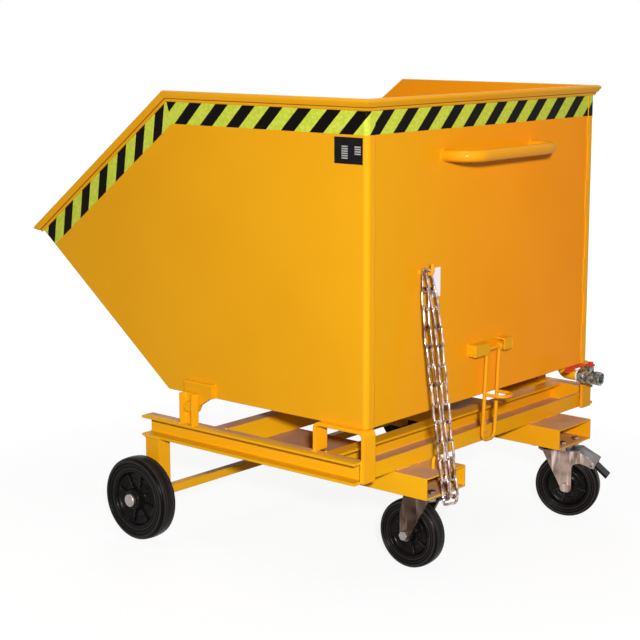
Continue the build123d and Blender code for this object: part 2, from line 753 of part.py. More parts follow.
castor_wheel = wheel_pieces(castor_radius, castor_tyre_width, castor_hub_half, castor_hub_radius,
                            castor_bush_radius, castor_axle_radius + running_gap)
castor_axle = cylinder_y(castor_trail, castor_radius, castor_axle_radius, -fork_outer, fork_outer)
for y0, y1 in ((-fork_outer - axle_hex_height, -fork_outer), (fork_outer, fork_outer + axle_hex_height)):
    castor_axle += hexagon_y(castor_trail, castor_radius, axle_hex_flats, y0, y1)
plate_fixings = []
for side, name, angle in ((-1, "left", castor_left_angle), (1, "right", castor_right_angle)):
    axis = Pos(castor_x, side * pocket_mid_y, 0)
    turn = axis * Rot(0, 0, angle)
    rolling = turn * Pos(castor_trail, 0, castor_radius)
    node("castor_" + name + "_plate", axis * castor_plate())
    node("castor_" + name + "_fork", turn * castor_fork(name == "right"))
    node("castor_" + name + "_axle", turn * castor_axle)
    node("castor_" + name + "_tyre", rolling * castor_wheel[0])
    node("castor_" + name + "_rim", rolling * castor_wheel[1], rolling * castor_wheel[2])
    for x, y in castor_holes:
        fixing = cylinder_z(x, y, castor_bolt_radius, nut_low_z, head_z)
        fixing += hexagon_z(x, y, castor_hex_flats, head_z, head_z + castor_bolt_head)
        fixing += hexagon_z(x, y, castor_hex_flats, nut_low_z, plate_bottom_z)
        plate_fixings.append(Pos(0, side * pocket_mid_y, 0) * fixing)
node("castor_bolts", *plate_fixings)

cover_front_x = crown_half + brake_cover_gap
cover_top_z = crown_top_z + brake_cover_thick
brake_cover = slab([(cover_front_x, crown_top_z), (brake_top_x, crown_top_z), (brake_tip_x, brake_tip_z),
                    (brake_tip_x + brake_cover_lead, brake_tip_z + brake_cover_thick),
                    (brake_top_x, cover_top_z), (cover_front_x, cover_top_z)], -fork_outer, fork_outer)
brake_pin = cylinder_y(brake_hinge_x, brake_hinge_z, brake_pin_radius,
                       -fork_outer - brake_pin_overhang, fork_outer + brake_pin_overhang)
node("brake_cover", turn * brake_cover, turn * brake_pin)
pedal_low_z = brake_hinge_z - pedal_thick
pedal_tip_x = brake_hinge_x + pedal_reach
pedal_tip_z = brake_hinge_z - pedal_drop
pedal_boss_half = fork_inner - pedal_boss_play
pedal = slab([(brake_hinge_x - pedal_front, pedal_low_z), (brake_hinge_x + pedal_root, pedal_low_z),
              (pedal_tip_x, pedal_tip_z), (pedal_tip_x + pedal_nose, pedal_tip_z + pedal_end),
              (brake_hinge_x + pedal_top, brake_hinge_z)], -pedal_half, pedal_half)
pedal += cylinder_y(brake_hinge_x, brake_hinge_z, pedal_boss, -pedal_boss_half, pedal_boss_half)
pedal -= cylinder_y(brake_hinge_x, brake_hinge_z, brake_pin_radius + running_gap, -fork_outer, fork_outer)
node("brake_pedal", turn * pedal)

pin_x = rear_x + latch_pin_x
latch_front_x = rear_x + latch_bracket_depth
latch_bracket_top_z = latch_pin_z + latch_bracket_rise
latch_low_z = latch_bracket_top_z - latch_bracket_drop
tab_gap_left = bail_top_y - bail_half - bail_radius - latch_tab_gap
tab_gap_right = bail_top_y + bail_half + bail_radius + latch_tab_gap
latch_brackets = []
for inner_y, outer_y in ((tab_gap_left, latch_left_y), (tab_gap_right, latch_right_y)):
    y0, y1 = sorted((inner_y, outer_y))
    cheek_y0, cheek_y1 = sorted((outer_y, outer_y + latch_sheet * (1 if outer_y < inner_y else -1)))
    folded = block(rear_wall_x, latch_front_x, y0, y1,
                   latch_bracket_top_z - latch_sheet, latch_bracket_top_z)
    folded += block(latch_front_x - latch_sheet, latch_front_x, y0, y1, latch_low_z, latch_bracket_top_z)
    folded += block(rear_wall_x, latch_front_x, cheek_y0, cheek_y1, latch_low_z, latch_bracket_top_z)
    folded -= cylinder_y(pin_x, latch_pin_z, latch_pin_radius + bolt_gap,
                         latch_left_y - past, latch_right_y + past)
    latch_brackets.append(folded)
node("latch_bracket", *latch_brackets)
latch_pin = cylinder_y(pin_x, latch_pin_z, latch_pin_radius, latch_left_y, latch_right_y + pin_overhang)
latch_pin += cylinder_y(pin_x, latch_pin_z, latch_pin_radius * pin_head_share,
                        latch_left_y - pin_head, latch_left_y)
cotter_y = latch_right_y + pin_overhang / 2
latch_pin -= cylinder_z(pin_x, cotter_y, cotter_radius + bolt_gap,
                        latch_pin_z - latch_pin_radius - past, latch_pin_z + latch_pin_radius + past)
cotter_top_z = latch_pin_z + cotter_rise
cotter = bent_rod([(pin_x, cotter_y, latch_pin_z - cotter_long), (pin_x, cotter_y, cotter_top_z),
                   (pin_x + cotter_width, cotter_y, cotter_top_z),
                   (pin_x + cotter_width, cotter_y, latch_pin_z - cotter_short)],
                  cotter_bend, cotter_radius)
node("latch_pin", latch_pin, cotter)

bail_top_z = latch_pin_z - latch_pin_radius - bail_pin_gap


def bail_y(side, z):
    # the bail hangs a little to one side, so its rods lean along y
    share = (bail_top_z - z) / (bail_top_z - bail_bottom_z)
    return bail_top_y + (bail_low_y - bail_top_y) * share + side * bail_half


bail = bent_rod([(pin_x, bail_y(-1, bail_top_z), bail_top_z),
                 (pin_x, bail_y(-1, bail_bottom_z), bail_bottom_z),
                 (pin_x, bail_y(1, bail_bottom_z), bail_bottom_z),
                 (pin_x, bail_y(1, bail_top_z), bail_top_z)],
                bail_bend, bail_radius)
for side in (-1, 1):
    eye_mid_y = bail_y(side, bail_top_z)
    bail += cylinder_y(pin_x, latch_pin_z, bail_eye_radius,
                       eye_mid_y - bail_radius, eye_mid_y + bail_radius)
    bail -= cylinder_y(pin_x, latch_pin_z, latch_pin_radius + running_gap,
                       eye_mid_y - 2 * bail_radius, eye_mid_y + 2 * bail_radius)
loop_x = rear_x + loop_reach
bail += bent_rod([(pin_x, bail_y(-1, loop_z), loop_z), (loop_x, bail_y(-1, loop_z), loop_z),
                  (loop_x, bail_y(1, loop_z), loop_z), (pin_x, bail_y(1, loop_z), loop_z)],
                 loop_bend, loop_radius)
node("latch_bail", bail)
tongue_low_z = bail_bottom_z + bail_radius + tongue_play
tongue = slab([(bar_x, tongue_low_z), (bar_x + tongue_reach, tongue_low_z + tongue_rise),
               (bar_x + tongue_rise / 2, tongue_low_z + tongue_height),
               (bar_x, tongue_low_z + tongue_height)],
              bail_low_y - tongue_thick / 2, bail_low_y + tongue_thick / 2)
node("latch_tongue", tongue)

elbow_bend = floor_z - drain_z - elbow_spare
elbow_path = [(rear_x + drain_x, drain_y, floor_z), (rear_x + drain_x, drain_y, drain_z),
              (rear_x + pipe_end_x, drain_y, drain_z)]
elbow_line = FilletPolyline(*elbow_path, radius=elbow_bend)
elbow_start = Plane(origin=elbow_line @ 0, z_dir=elbow_line % 0)
elbow = sweep(elbow_start * (Circle(pipe_radius) - Circle(pipe_bore)), path=elbow_line)
node("drain_elbow", elbow)
valve_x0 = rear_x + pipe_end_x + seal_thick
valve_x1 = valve_x0 + valve_length
stem_x = (valve_x0 + valve_x1) / 2
cavity = ball_radius + running_gap
seat_x0 = stem_x - ball_radius - seat_length / 2
seat_x1 = stem_x + ball_radius + seat_length / 2
valve = cylinder_x(drain_y, drain_z, valve_radius, valve_x0, valve_x1)
for x in (valve_x0, valve_x1 - valve_thread_length):
    hexagon = RegularPolygon(valve_flats / 2, 6, major_radius=False)
    valve += Pos(x, drain_y, drain_z) * Rot(0, 90, 0) * extrude(hexagon, amount=valve_thread_length)
neck_top_z = lever_z - neck_gap
valve += cylinder_z(stem_x, drain_y, neck_radius, drain_z, neck_top_z)
valve -= cylinder_x(drain_y, drain_z, valve_bore, valve_x0 - past, valve_x1 + past)
valve -= cylinder_x(drain_y, drain_z, ball_radius, seat_x0, seat_x1)
valve -= cylinder_x(drain_y, drain_z, valve_thread_radius, valve_x1 - valve_thread_length, valve_x1 + past)
valve -= cylinder_z(stem_x, drain_y, stem_radius + running_gap, drain_z, neck_top_z + past)
valve -= Pos(stem_x, drain_y, drain_z) * Sphere(cavity)
node("valve_body", valve)
seal = cylinder_x(drain_y, drain_z, seal_radius, rear_x + pipe_end_x, valve_x0)
seal -= cylinder_x(drain_y, drain_z, valve_bore, rear_x + pipe_end_x - past, valve_x0 + past)
seats = []
for x0, x1 in ((seat_x0, stem_x - seat_ring), (stem_x + seat_ring, seat_x1)):
    seat = cylinder_x(drain_y, drain_z, ball_radius - seat_gap, x0, x1)
    seat -= cylinder_x(drain_y, drain_z, valve_bore, x0 - past, x1 + past)
    seat -= Pos(stem_x, drain_y, drain_z) * Rot(0, 90, 0) * Sphere(cavity)
    seats.append(seat)
node("valve_seals", seal, *seats)
ball_top_z = drain_z + ball_radius
stem_low_z = ball_top_z - stem_tang_drop
ball = Pos(stem_x, drain_y, drain_z) * Sphere(ball_radius)
ball -= cylinder_y(stem_x, drain_z, valve_bore, drain_y - ball_radius - past, drain_y + ball_radius + past)
ball -= block(stem_x - stem_slot_half, stem_x + stem_slot_half, drain_y - ball_radius - past,
              drain_y + ball_radius + past, stem_low_z, ball_top_z + past)
node("valve_ball", ball)
lever_top_z = lever_z + lever_thick
stem = cylinder_z(stem_x, drain_y, stem_radius, ball_top_z, lever_top_z + stem_over)
stem += block(stem_x - stem_tang_half, stem_x + stem_tang_half, drain_y - stem_tang_width,
              drain_y + stem_tang_width, stem_low_z, ball_top_z + stem_overlap)
stem += hexagon_z(stem_x, drain_y, stem_nut_flats, lever_top_z, lever_top_z + stem_nut_height)
node("valve_stem", stem)
grip_x = lever_length - lever_dip
lever_under = [(0, 0), (lever_flat, 0), (lever_ramp, lever_rise), (grip_x, lever_rise),
               (lever_length, lever_end_rise)]
lever_over = [(x, z + lever_thick) for x, z in reversed(lever_under)]
lever = slab(lever_under + lever_over, -lever_width / 2, lever_width / 2)
lever = fillet(lever.edges().filter_by(Axis.Z).sort_by(Axis.X)[-2:], lever_width * lever_round_share)
lever += cylinder_z(0, 0, lever_width / 2 + lever_rim, 0, lever_thick)
lever -= cylinder_z(0, 0, stem_radius, -past, lever_thick + past)
node("valve_lever", Pos(stem_x, drain_y, lever_z) * Rot(0, 0, -90) * lever)

hook_x, hook_y, hook_z = chain_top
hook_path = [(rear_wall_x, hook_y, hook_z), (rear_x + hook_reach, hook_y, hook_z),
             (rear_x + hook_reach, hook_y, hook_z + hook_rise)]
node("chain_hook", bent_rod(hook_path, hook_rod + hook_bend_spare, hook_rod))
eye_mid_x = rear_x + eye_x
eye_top_z = rail_bottom_z + eye_height
eye_path = [(eye_mid_x, eye_y - eye_half, rail_bottom_z), (eye_mid_x, eye_y - eye_half, eye_top_z),
            (eye_mid_x, eye_y + eye_half, eye_top_z), (eye_mid_x, eye_y + eye_half, rail_bottom_z)]
node("chain_eye", bent_rod(eye_path, eye_bend, eye_rod))


def link_outline(reach, width):
    # straight run with ends cut off at forty-five degrees, as points round the link
    cut = width * (2 - sqrt(2))
    right_end = [(reach - cut, -width), (reach, cut - width), (reach, width - cut), (reach - cut, width)]
    return right_end + [(-x, -y) for x, y in right_end]


link_reach = chain_inside_length / 2 + chain_wire
link_width = chain_inside_width / 2 + chain_wire
link_face = make_face(Polyline(*link_outline(link_reach, link_width), close=True))
link_hole = make_face(Polyline(*link_outline(chain_inside_length / 2, chain_inside_width / 2), close=True))
link = Pos(0, 0, -chain_wire / 2) * extrude(link_face - link_hole, amount=chain_wire)
link = chamfer(link.faces().filter_by(Axis.Z).edges(), chain_wire * link_edge_share)


def chain_joints(side):
    # places where each link of one strand meets the next, stepped one pitch at a time
    run = [b - a for a, b in zip(chain_top, chain_bottom)]
    length = sqrt(sum(c * c for c in run))
    wanted = []
    for index in range(chain_links + 1):
        along = index * chain_pitch / length
        shift = chain_hook_offset * max(0.0, 1.0 - index / chain_hook_run)
        wanted.append(Vector(rear_x + chain_top[0] + run[0] * along + side * shift,
                             chain_top[1] + run[1] * along + side * chain_spread[index],
                             chain_top[2] + run[2] * along + hook_rod + chain_hook_play))
    joints = [wanted[0]]
    for before, after in zip(wanted, wanted[1:]):
        joints.append(joints[-1] + (after - before).normalized() * chain_pitch)
    return joints


def chain_link(a, b, flat):
    # one link between two joints, lying flat towards x or standing on edge
    along = (b - a).normalized()
    across = Vector(1, 0, 0) if flat else Vector(0, 1, 0)
    normal = (across - along * across.dot(along)).normalized()
    return Location(Plane(origin=(a + b) * 0.5, x_dir=along, z_dir=normal)) * link


upper_links = []
lower_links = []
strands = [chain_joints(-1), chain_joints(1)]
for joints in strands:
    for index in range(chain_links):
        made = chain_link(joints[index], joints[index + 1], index % 2 == 0)
        (upper_links if index < chain_split else lower_links).append(made)
low_left = strands[0][chain_links]
low_right = strands[1][chain_links]
low_across = (low_right - low_left).normalized() * (chain_pitch / 2)
low_drop = Vector(0, 0, chain_inside_width / 2 - chain_low_play)
low_middle = (low_left + low_right) * 0.5 - low_drop
lower_links.append(chain_link(low_middle - low_across, low_middle + low_across, True))
node("chain_upper", *upper_links)
node("chain_lower", *lower_links)
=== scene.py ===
import bmesh
import bpy
import json
import math
from mathutils import Matrix, Vector


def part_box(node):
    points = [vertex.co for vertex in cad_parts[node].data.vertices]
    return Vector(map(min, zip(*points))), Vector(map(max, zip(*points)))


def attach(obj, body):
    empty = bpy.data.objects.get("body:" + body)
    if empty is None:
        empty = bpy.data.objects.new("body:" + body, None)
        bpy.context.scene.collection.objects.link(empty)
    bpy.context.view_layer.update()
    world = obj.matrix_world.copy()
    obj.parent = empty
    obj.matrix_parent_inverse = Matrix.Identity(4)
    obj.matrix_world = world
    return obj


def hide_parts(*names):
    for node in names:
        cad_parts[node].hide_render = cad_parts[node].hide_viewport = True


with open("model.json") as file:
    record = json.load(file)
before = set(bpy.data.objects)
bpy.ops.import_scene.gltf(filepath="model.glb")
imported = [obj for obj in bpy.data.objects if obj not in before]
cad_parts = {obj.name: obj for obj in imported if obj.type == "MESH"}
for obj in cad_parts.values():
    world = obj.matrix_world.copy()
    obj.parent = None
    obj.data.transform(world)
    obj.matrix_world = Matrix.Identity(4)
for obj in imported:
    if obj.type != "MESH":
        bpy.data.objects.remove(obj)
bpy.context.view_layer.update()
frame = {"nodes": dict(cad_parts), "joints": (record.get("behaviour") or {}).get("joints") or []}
nodes = frame["nodes"]
joints = {joint["name"]: joint for joint in frame["joints"]}
boxSizes = {"half": 0.450, "lip": (-1.067, 0.713), "knuckle": (-0.604, 1.060), "floorFront": (-0.605, 0.355),
            "sheet": 0.003, "cornerBend": 0.012, "cornerFlange": 0.026, "rimDrop": 0.025}
halfY = boxSizes["half"]
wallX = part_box("rear_wall")[1].x  # outer face of the rear wall
rearX = wallX + boxSizes["sheet"]  # outer face of the corner flanges on it
flangeY = halfY - boxSizes["cornerFlange"]
wayX, wayY, wayZ = Vector((1, 0, 0)), Vector((0, 1, 0)), Vector((0, 0, 1))
print("frame loaded:", len(nodes), "nodes")


# node helpers: a socket is linked, anything else is set on the input itself
def feed(tree, target, value):
    if isinstance(value, bpy.types.NodeSocket):
        tree.links.new(value, target)
    else:
        target.default_value = value


def addNode(tree, kind, inputs=None, **settings):
    node = tree.nodes.new(kind)
    for key, value in settings.items():
        setattr(node, key, value)
    for key, value in (inputs or {}).items():
        feed(tree, node.inputs[key], value)
    return node


socketKinds = {float: "Float", int: "Int", tuple: "Vector"}


def newGroup(kind, name, inputs, outputs):
    # an input is given by its plain value, or by its kind where it has none
    tree = bpy.data.node_groups.new(name, kind)
    for title, value in inputs.items():
        socketKind = value if isinstance(value, str) else socketKinds[type(value)]
        socket = tree.interface.new_socket(title, in_out="INPUT", socket_type="NodeSocket" + socketKind)
        if not isinstance(value, str):
            socket.default_value = value
    for title, socketKind in outputs.items():
        tree.interface.new_socket(title, in_out="OUTPUT", socket_type="NodeSocket" + socketKind)
    return tree, tree.nodes.new("NodeGroupInput").outputs, tree.nodes.new("NodeGroupOutput").inputs


def newMaterial(name):
    material = bpy.data.materials.new(name)
    material.use_nodes = True
    return material, material.node_tree, material.node_tree.nodes["Principled BSDF"]


def maths(tree, operation, *values):
    return addNode(tree, "ShaderNodeMath", dict(enumerate(values)), operation=operation).outputs[0]


def product(tree, first, *others):
    for value in others:
        first = maths(tree, "MULTIPLY", first, value)
    return first


def ramp(tree, value, low, high):
    spread = {"Value": value, "From Min": low, "From Max": high}
    return addNode(tree, "ShaderNodeMapRange", spread, interpolation_type="SMOOTHSTEP").outputs["Result"]


def objectPlace(tree):
    return addNode(tree, "ShaderNodeTexCoord").outputs["Object"]


def splitVector(tree, vector):
    return addNode(tree, "ShaderNodeSeparateXYZ", {"Vector": vector}).outputs


noiseRough = 0.55


def noiseOf(tree, scale, detail, stretch=None):
    place = objectPlace(tree)
    if stretch:
        place = addNode(tree, "ShaderNodeMapping", {"Vector": place, "Scale": stretch}).outputs["Vector"]
    facts = {"Vector": place, "Scale": scale, "Detail": detail, "Roughness": noiseRough}
    return addNode(tree, "ShaderNodeTexNoise", facts).outputs["Fac"]


def mixColour(tree, factor, first, second):
    node = addNode(tree, "ShaderNodeMix", {"Factor": factor}, data_type="RGBA")
    for place, value in ((6, first), (7, second)):  # the node's two colour inputs
        feed(tree, node.inputs[place], value + (1.0,) if isinstance(value, tuple) else value)
    return node.outputs[2]


def placeGroup(tree, group, inputs):
    return addNode(tree, "ShaderNodeGroup", inputs, node_tree=group).outputs


# rubbed edges and painted edge highlights: where a rounded normal leaves the flat one
edgeFacts = {"bend": (0.04, 0.30), "patch": (0.42, 0.62), "detail": 5.0}
edgeGroup, edgeIn, edgeOut = newGroup(
    "ShaderNodeTree", "edgeRubGlint", {"Width": 0.003, "Grain": 60.0, "Amount": 1.0},
    {"Mask": "Float", "Soft Normal": "Vector"})
softNormal = addNode(edgeGroup, "ShaderNodeBevel", {"Radius": edgeIn["Width"]}, samples=4).outputs["Normal"]
flatNormal = addNode(edgeGroup, "ShaderNodeNewGeometry").outputs["Normal"]
agree = addNode(edgeGroup, "ShaderNodeVectorMath", {0: softNormal, 1: flatNormal}, operation="DOT_PRODUCT")
edgeBend = ramp(edgeGroup, maths(edgeGroup, "SUBTRACT", 1.0, agree.outputs["Value"]), *edgeFacts["bend"])
edgePatch = ramp(edgeGroup, noiseOf(edgeGroup, edgeIn["Grain"], edgeFacts["detail"]), *edgeFacts["patch"])
feed(edgeGroup, edgeOut["Mask"], product(edgeGroup, edgeBend, edgePatch, edgeIn["Amount"]))
feed(edgeGroup, edgeOut["Soft Normal"], softNormal)

# settled dust with painted shade and a dim painted reflection on upward faces, between two heights and not
# too far out
dustFacts = {"upward": (0.75, 0.97), "patch": (0.28, 0.58), "detail": 4.0, "rough": 0.62}
dustGroup, dustIn, dustOut = newGroup(
    "ShaderNodeTree", "dustAndShade",
    {"Grain": 9.0, "Amount": 1.0, "From Height": 0.0, "To Height": 5.0, "To Side": 5.0},
    {"Mask": "Float"})
ownNormal = addNode(dustGroup, "ShaderNodeTexCoord").outputs["Normal"]
facingUp = ramp(dustGroup, splitVector(dustGroup, ownNormal)["Z"], *dustFacts["upward"])
dustPatch = ramp(dustGroup, noiseOf(dustGroup, dustIn["Grain"], dustFacts["detail"]), *dustFacts["patch"])
dustPlace = splitVector(dustGroup, objectPlace(dustGroup))
highEnough = maths(dustGroup, "GREATER_THAN", dustPlace["Z"], dustIn["From Height"])
lowEnough = maths(dustGroup, "LESS_THAN", dustPlace["Z"], dustIn["To Height"])
nearEnough = maths(dustGroup, "LESS_THAN", maths(dustGroup, "ABSOLUTE", dustPlace["Y"]), dustIn["To Side"])
dustMask = product(dustGroup, facingUp, dustPatch, highEnough, lowEnough, nearEnough, dustIn["Amount"])
feed(dustGroup, dustOut["Mask"], dustMask)

# cloudy tone and fine surface texture
grainFacts = {"cloud": (0.3, 0.7), "detail": 2.0, "depth": 0.001}
grainGroup, grainIn, grainOut = newGroup("ShaderNodeTree", "surfaceGrain", {"Cloud": 3.0, "Fine": 220.0},
                                         {"Tone": "Float", "Height": "Float"})
cloud = noiseOf(grainGroup, grainIn["Cloud"], grainFacts["detail"])
feed(grainGroup, grainOut["Tone"], ramp(grainGroup, cloud, *grainFacts["cloud"]))
feed(grainGroup, grainOut["Height"], noiseOf(grainGroup, grainIn["Fine"], grainFacts["detail"]))
print("shared shader groups made")

plainLook = {"metal": 0.0, "coat": 0.0, "coatRough": 0.1, "specular": 0.5, "roughSpread": 0.08, "cloud": 3.0,
             "fine": 220.0, "bump": 0.1, "edge": 0.0015, "edgeGrain": 60.0, "rub": 0.0, "sideAxis": "Y",
             "dust": 0.0, "dustGrain": 9.0, "dustFrom": 0.0, "dustTo": 5.0, "dustSide": 5.0}
drawnUp = (1.0, 1.0, 0.14)  # streaks in rolled zinc run upward
finish = {}


def stripes(tree, look):
    # slanted stripes along the tape's own run
    run = splitVector(tree, addNode(tree, "ShaderNodeUVMap", uv_map="tapeRun").outputs["UV"])
    slanted = maths(tree, "SUBTRACT", run["X"], run["Y"])
    phase = maths(tree, "FRACT", maths(tree, "DIVIDE", slanted, look["stripes"]))
    return ramp(tree, maths(tree, "ABSOLUTE", maths(tree, "SUBTRACT", phase, 0.5)), *look["stripeEdge"])


def makeFinish(name, look):
    material, tree, shader = newMaterial(name)
    for title, key in (("Metallic", "metal"), ("Coat Weight", "coat"), ("Coat Roughness", "coatRough"),
                       ("Specular IOR Level", "specular")):
        shader.inputs[title].default_value = look[key]
    grain = placeGroup(tree, grainGroup, {"Cloud": look["cloud"], "Fine": look["fine"]})
    colour = mixColour(tree, grain["Tone"], look["colour"], look["colour2"])
    rough = maths(tree, "MULTIPLY_ADD", grain["Tone"], look["roughSpread"], look["rough"])
    bump = addNode(tree, "ShaderNodeBump", {"Strength": look["bump"], "Distance": grainFacts["depth"],
                                            "Height": grain["Height"]})
    if "stripes" in look:
        colour = mixColour(tree, stripes(tree, look), colour, look["stripeColour"])
    # painted light fall-off: the colour shifts from the side colour to its own colour along one axis
    if "sideColour" in look:
        across = splitVector(tree, objectPlace(tree))[look["sideAxis"]]
        colour = mixColour(tree, ramp(tree, across, *look["sideSpan"]), look["sideColour"], colour)
    if "streak" in look:
        drawn = noiseOf(tree, look["streak"], grainFacts["detail"], drawnUp)
        colour = mixColour(tree, ramp(tree, drawn, *look["streakSpan"]), colour, look["streakColour"])
    if look["edge"]:
        edge = placeGroup(tree, edgeGroup, {"Width": look["edge"], "Grain": look["edgeGrain"],
                                            "Amount": look["rub"]})
        feed(tree, bump.inputs["Normal"], edge["Soft Normal"])
        if look["rub"]:
            colour = mixColour(tree, edge["Mask"], colour, look["rubColour"])
    # dust on upward faces, together with painted shade and a dim painted reflection
    if look["dust"]:
        dust = placeGroup(tree, dustGroup, {
            "Grain": look["dustGrain"], "Amount": look["dust"], "From Height": look["dustFrom"],
            "To Height": look["dustTo"], "To Side": look["dustSide"]})["Mask"]
        colour = mixColour(tree, dust, colour, look["dustColour"])
        rough = maths(tree, "MAXIMUM", rough, maths(tree, "MULTIPLY", dust, dustFacts["rough"]))
    # painted light at the places the mesh marks: painted shade in the rim's crease, painted highlight rings
    # on the tyres
    if "grime" in look:
        crease = addNode(tree, "ShaderNodeAttribute", attribute_name="crease").outputs["Fac"]
        colour = mixColour(tree, crease, colour, look["grime"])
    feed(tree, shader.inputs["Base Color"], colour)
    feed(tree, shader.inputs["Roughness"], rough)
    feed(tree, shader.inputs["Normal"], bump.outputs["Normal"])
    return material


def addFinish(name, members, base=plainLook, **own):
    # members are the CAD nodes that are shown in this finish
    look = dict(base, **own)
    finish[name] = makeFinish(name, look)
    for member in members:
        slots = nodes[member].data.materials
        slots.clear()
        slots.append(finish[name])
    return look


# yellow paint of the box
boxPaint = addFinish(
    "boxPaint", ("side_panel_left", "pivot_lugs", "drain_elbow"), colour=(0.780, 0.352, 0.005),
    colour2=(0.750, 0.330, 0.004), rough=0.36, specular=0.05, coat=0.08, coatRough=0.12, cloud=2.2,
    fine=260.0, bump=0.05, rub=0.25, rubColour=(0.62, 0.22, 0.010), edge=0.002)
# rear wall: a copy of the box paint with painted light, more orange, and a painted fall-off from the side
# colour at -Y to the orange at +Y
rearPaint = addFinish(
    "rearPaint", ("rear_wall",), boxPaint, coat=0.05, colour=(0.950, 0.312, 0.004),
    colour2=(0.920, 0.290, 0.003), sideColour=(0.755, 0.336, 0.004), sideSpan=(-0.55, 0.30))
addFinish("farPaint", ("side_panel_right",), rearPaint, colour=(0.960, 0.420, 0.006),
          colour2=(0.930, 0.395, 0.005), sideColour=(0.740, 0.268, 0.004), sideAxis="X",
          sideSpan=(rearX - 0.0025, rearX - 0.0008))  # painted light: the corner flange's face is painted brighter, the far panel's inside is painted darker as shade
# the rim: painted shade along the crease under its hem
addFinish("rimPaint", (), boxPaint, grime=(0.32, 0.115, 0.005))
addFinish("barPaint", (), boxPaint, colour=(0.780, 0.318, 0.005), colour2=(0.750, 0.298, 0.004), coat=0.14)
addFinish("latchPaint", ("latch_bracket", "latch_pin"), boxPaint, edge=0.0007)
addFinish("floorPaint", ("floor_sheet",), boxPaint, rough=0.66, coat=0.0, dust=0.45,
          dustColour=(0.42, 0.235, 0.09), dustGrain=3.0, rub=0.3)

# yellow paint of the frame, with dust, painted shade and a dim painted reflection on its tops, and a painted
# light fall-off that turns it more orange towards +Y
framePaint = addFinish(
    "framePaint",
    ("front_cross_channel", "rear_bar", "fork_pocket_left", "fork_pocket_right", "latch_tongue", "chain_eye"),
    boxPaint, colour=(0.810, 0.342, 0.005), colour2=(0.775, 0.318, 0.004), rough=0.40, coat=0.06, cloud=4.0,
    bump=0.06, rub=0.30, rubColour=(0.50, 0.17, 0.010), dust=0.88, dustColour=(0.47, 0.275, 0.205),
    dustGrain=5.0, sideColour=(0.810, 0.396, 0.006), sideSpan=(-0.35, 0.30))
addFinish("railPaint", ("side_rail_left", "side_rail_right"), framePaint, dustFrom=0.262, dustSide=0.470)
addFinish("crossPaint", ("rear_cross_channel",), framePaint, dust=0.85, dustTo=0.270)
# darker dust and painted shade on the axle beam's top
addFinish("beamPaint", ("axle_beam",), framePaint, dust=0.95, dustColour=(0.15, 0.095, 0.075))
# posts and brackets: a painted light fall-off of their own across Y
addFinish("postPaint", ("pivot_posts", "pivot_bolts", "rest_brackets", "front_legs"), framePaint, dust=0.0,
          sideColour=(0.850, 0.375, 0.006))

# bare metal
zinc = addFinish(
    "zinc", ("axle_stubs", "axle_fittings", "castor_left_plate", "castor_right_plate", "castor_left_axle",
             "castor_bolts", "wheel_left_bush", "wheel_right_bush"),
    colour=(0.40, 0.36, 0.34), colour2=(0.28, 0.245, 0.23), metal=1.0, rough=0.34, roughSpread=0.16,
    cloud=26.0, fine=400.0, bump=0.08, rub=0.6, rubColour=(0.66, 0.63, 0.59), edge=0.001)
addFinish("forkZinc", ("castor_right_fork", "castor_right_axle"), zinc, colour=(0.42, 0.300, 0.250),
          colour2=(0.120, 0.070, 0.054), streak=75.0, streakSpan=(0.50, 0.76),
          streakColour=(0.80, 0.68, 0.61), cloud=20.0, rubColour=(0.66, 0.57, 0.52))
# the near castor's fork: a darker copy of the zinc, with painted shade and a dark painted reflection
addFinish("shadedZinc", ("castor_left_fork",), zinc, colour=(0.105, 0.062, 0.046),
          colour2=(0.034, 0.020, 0.015), streak=85.0, streakSpan=(0.50, 0.78),
          streakColour=(0.24, 0.175, 0.145), cloud=22.0, rough=0.42, rubColour=(0.40, 0.36, 0.33))
addFinish("coverZinc", ("brake_cover",), zinc, colour=(0.20, 0.185, 0.18), colour2=(0.11, 0.10, 0.095))
addFinish("chainSteel", (), colour=(0.78, 0.64, 0.57), colour2=(0.15, 0.085, 0.060), metal=1.0, rough=0.15,
          roughSpread=0.12, cloud=60.0, fine=500.0, bump=0.05)
addFinish("nickel", ("valve_body", "valve_ball"), colour=(0.38, 0.42, 0.40), colour2=(0.048, 0.053, 0.050),
          metal=0.60, rough=0.24, roughSpread=0.16, cloud=90.0, fine=500.0, bump=0.08, rub=0.5,
          rubColour=(0.52, 0.54, 0.51), edge=0.001)

# rubber, plastic, card and tape
# the tyre's light edge and crest colours are painted highlight rings
addFinish("tyreRubber", ("brake_pedal",), colour=(0.0020, 0.0017, 0.0016), colour2=(0.0040, 0.0033, 0.0031),
          rough=0.26, roughSpread=0.10, specular=0.05, cloud=30.0, fine=700.0, bump=0.12, rub=0.5,
          rubColour=(0.080, 0.074, 0.071), edge=0.0024, edgeGrain=14.0, grime=(0.027, 0.023, 0.021))
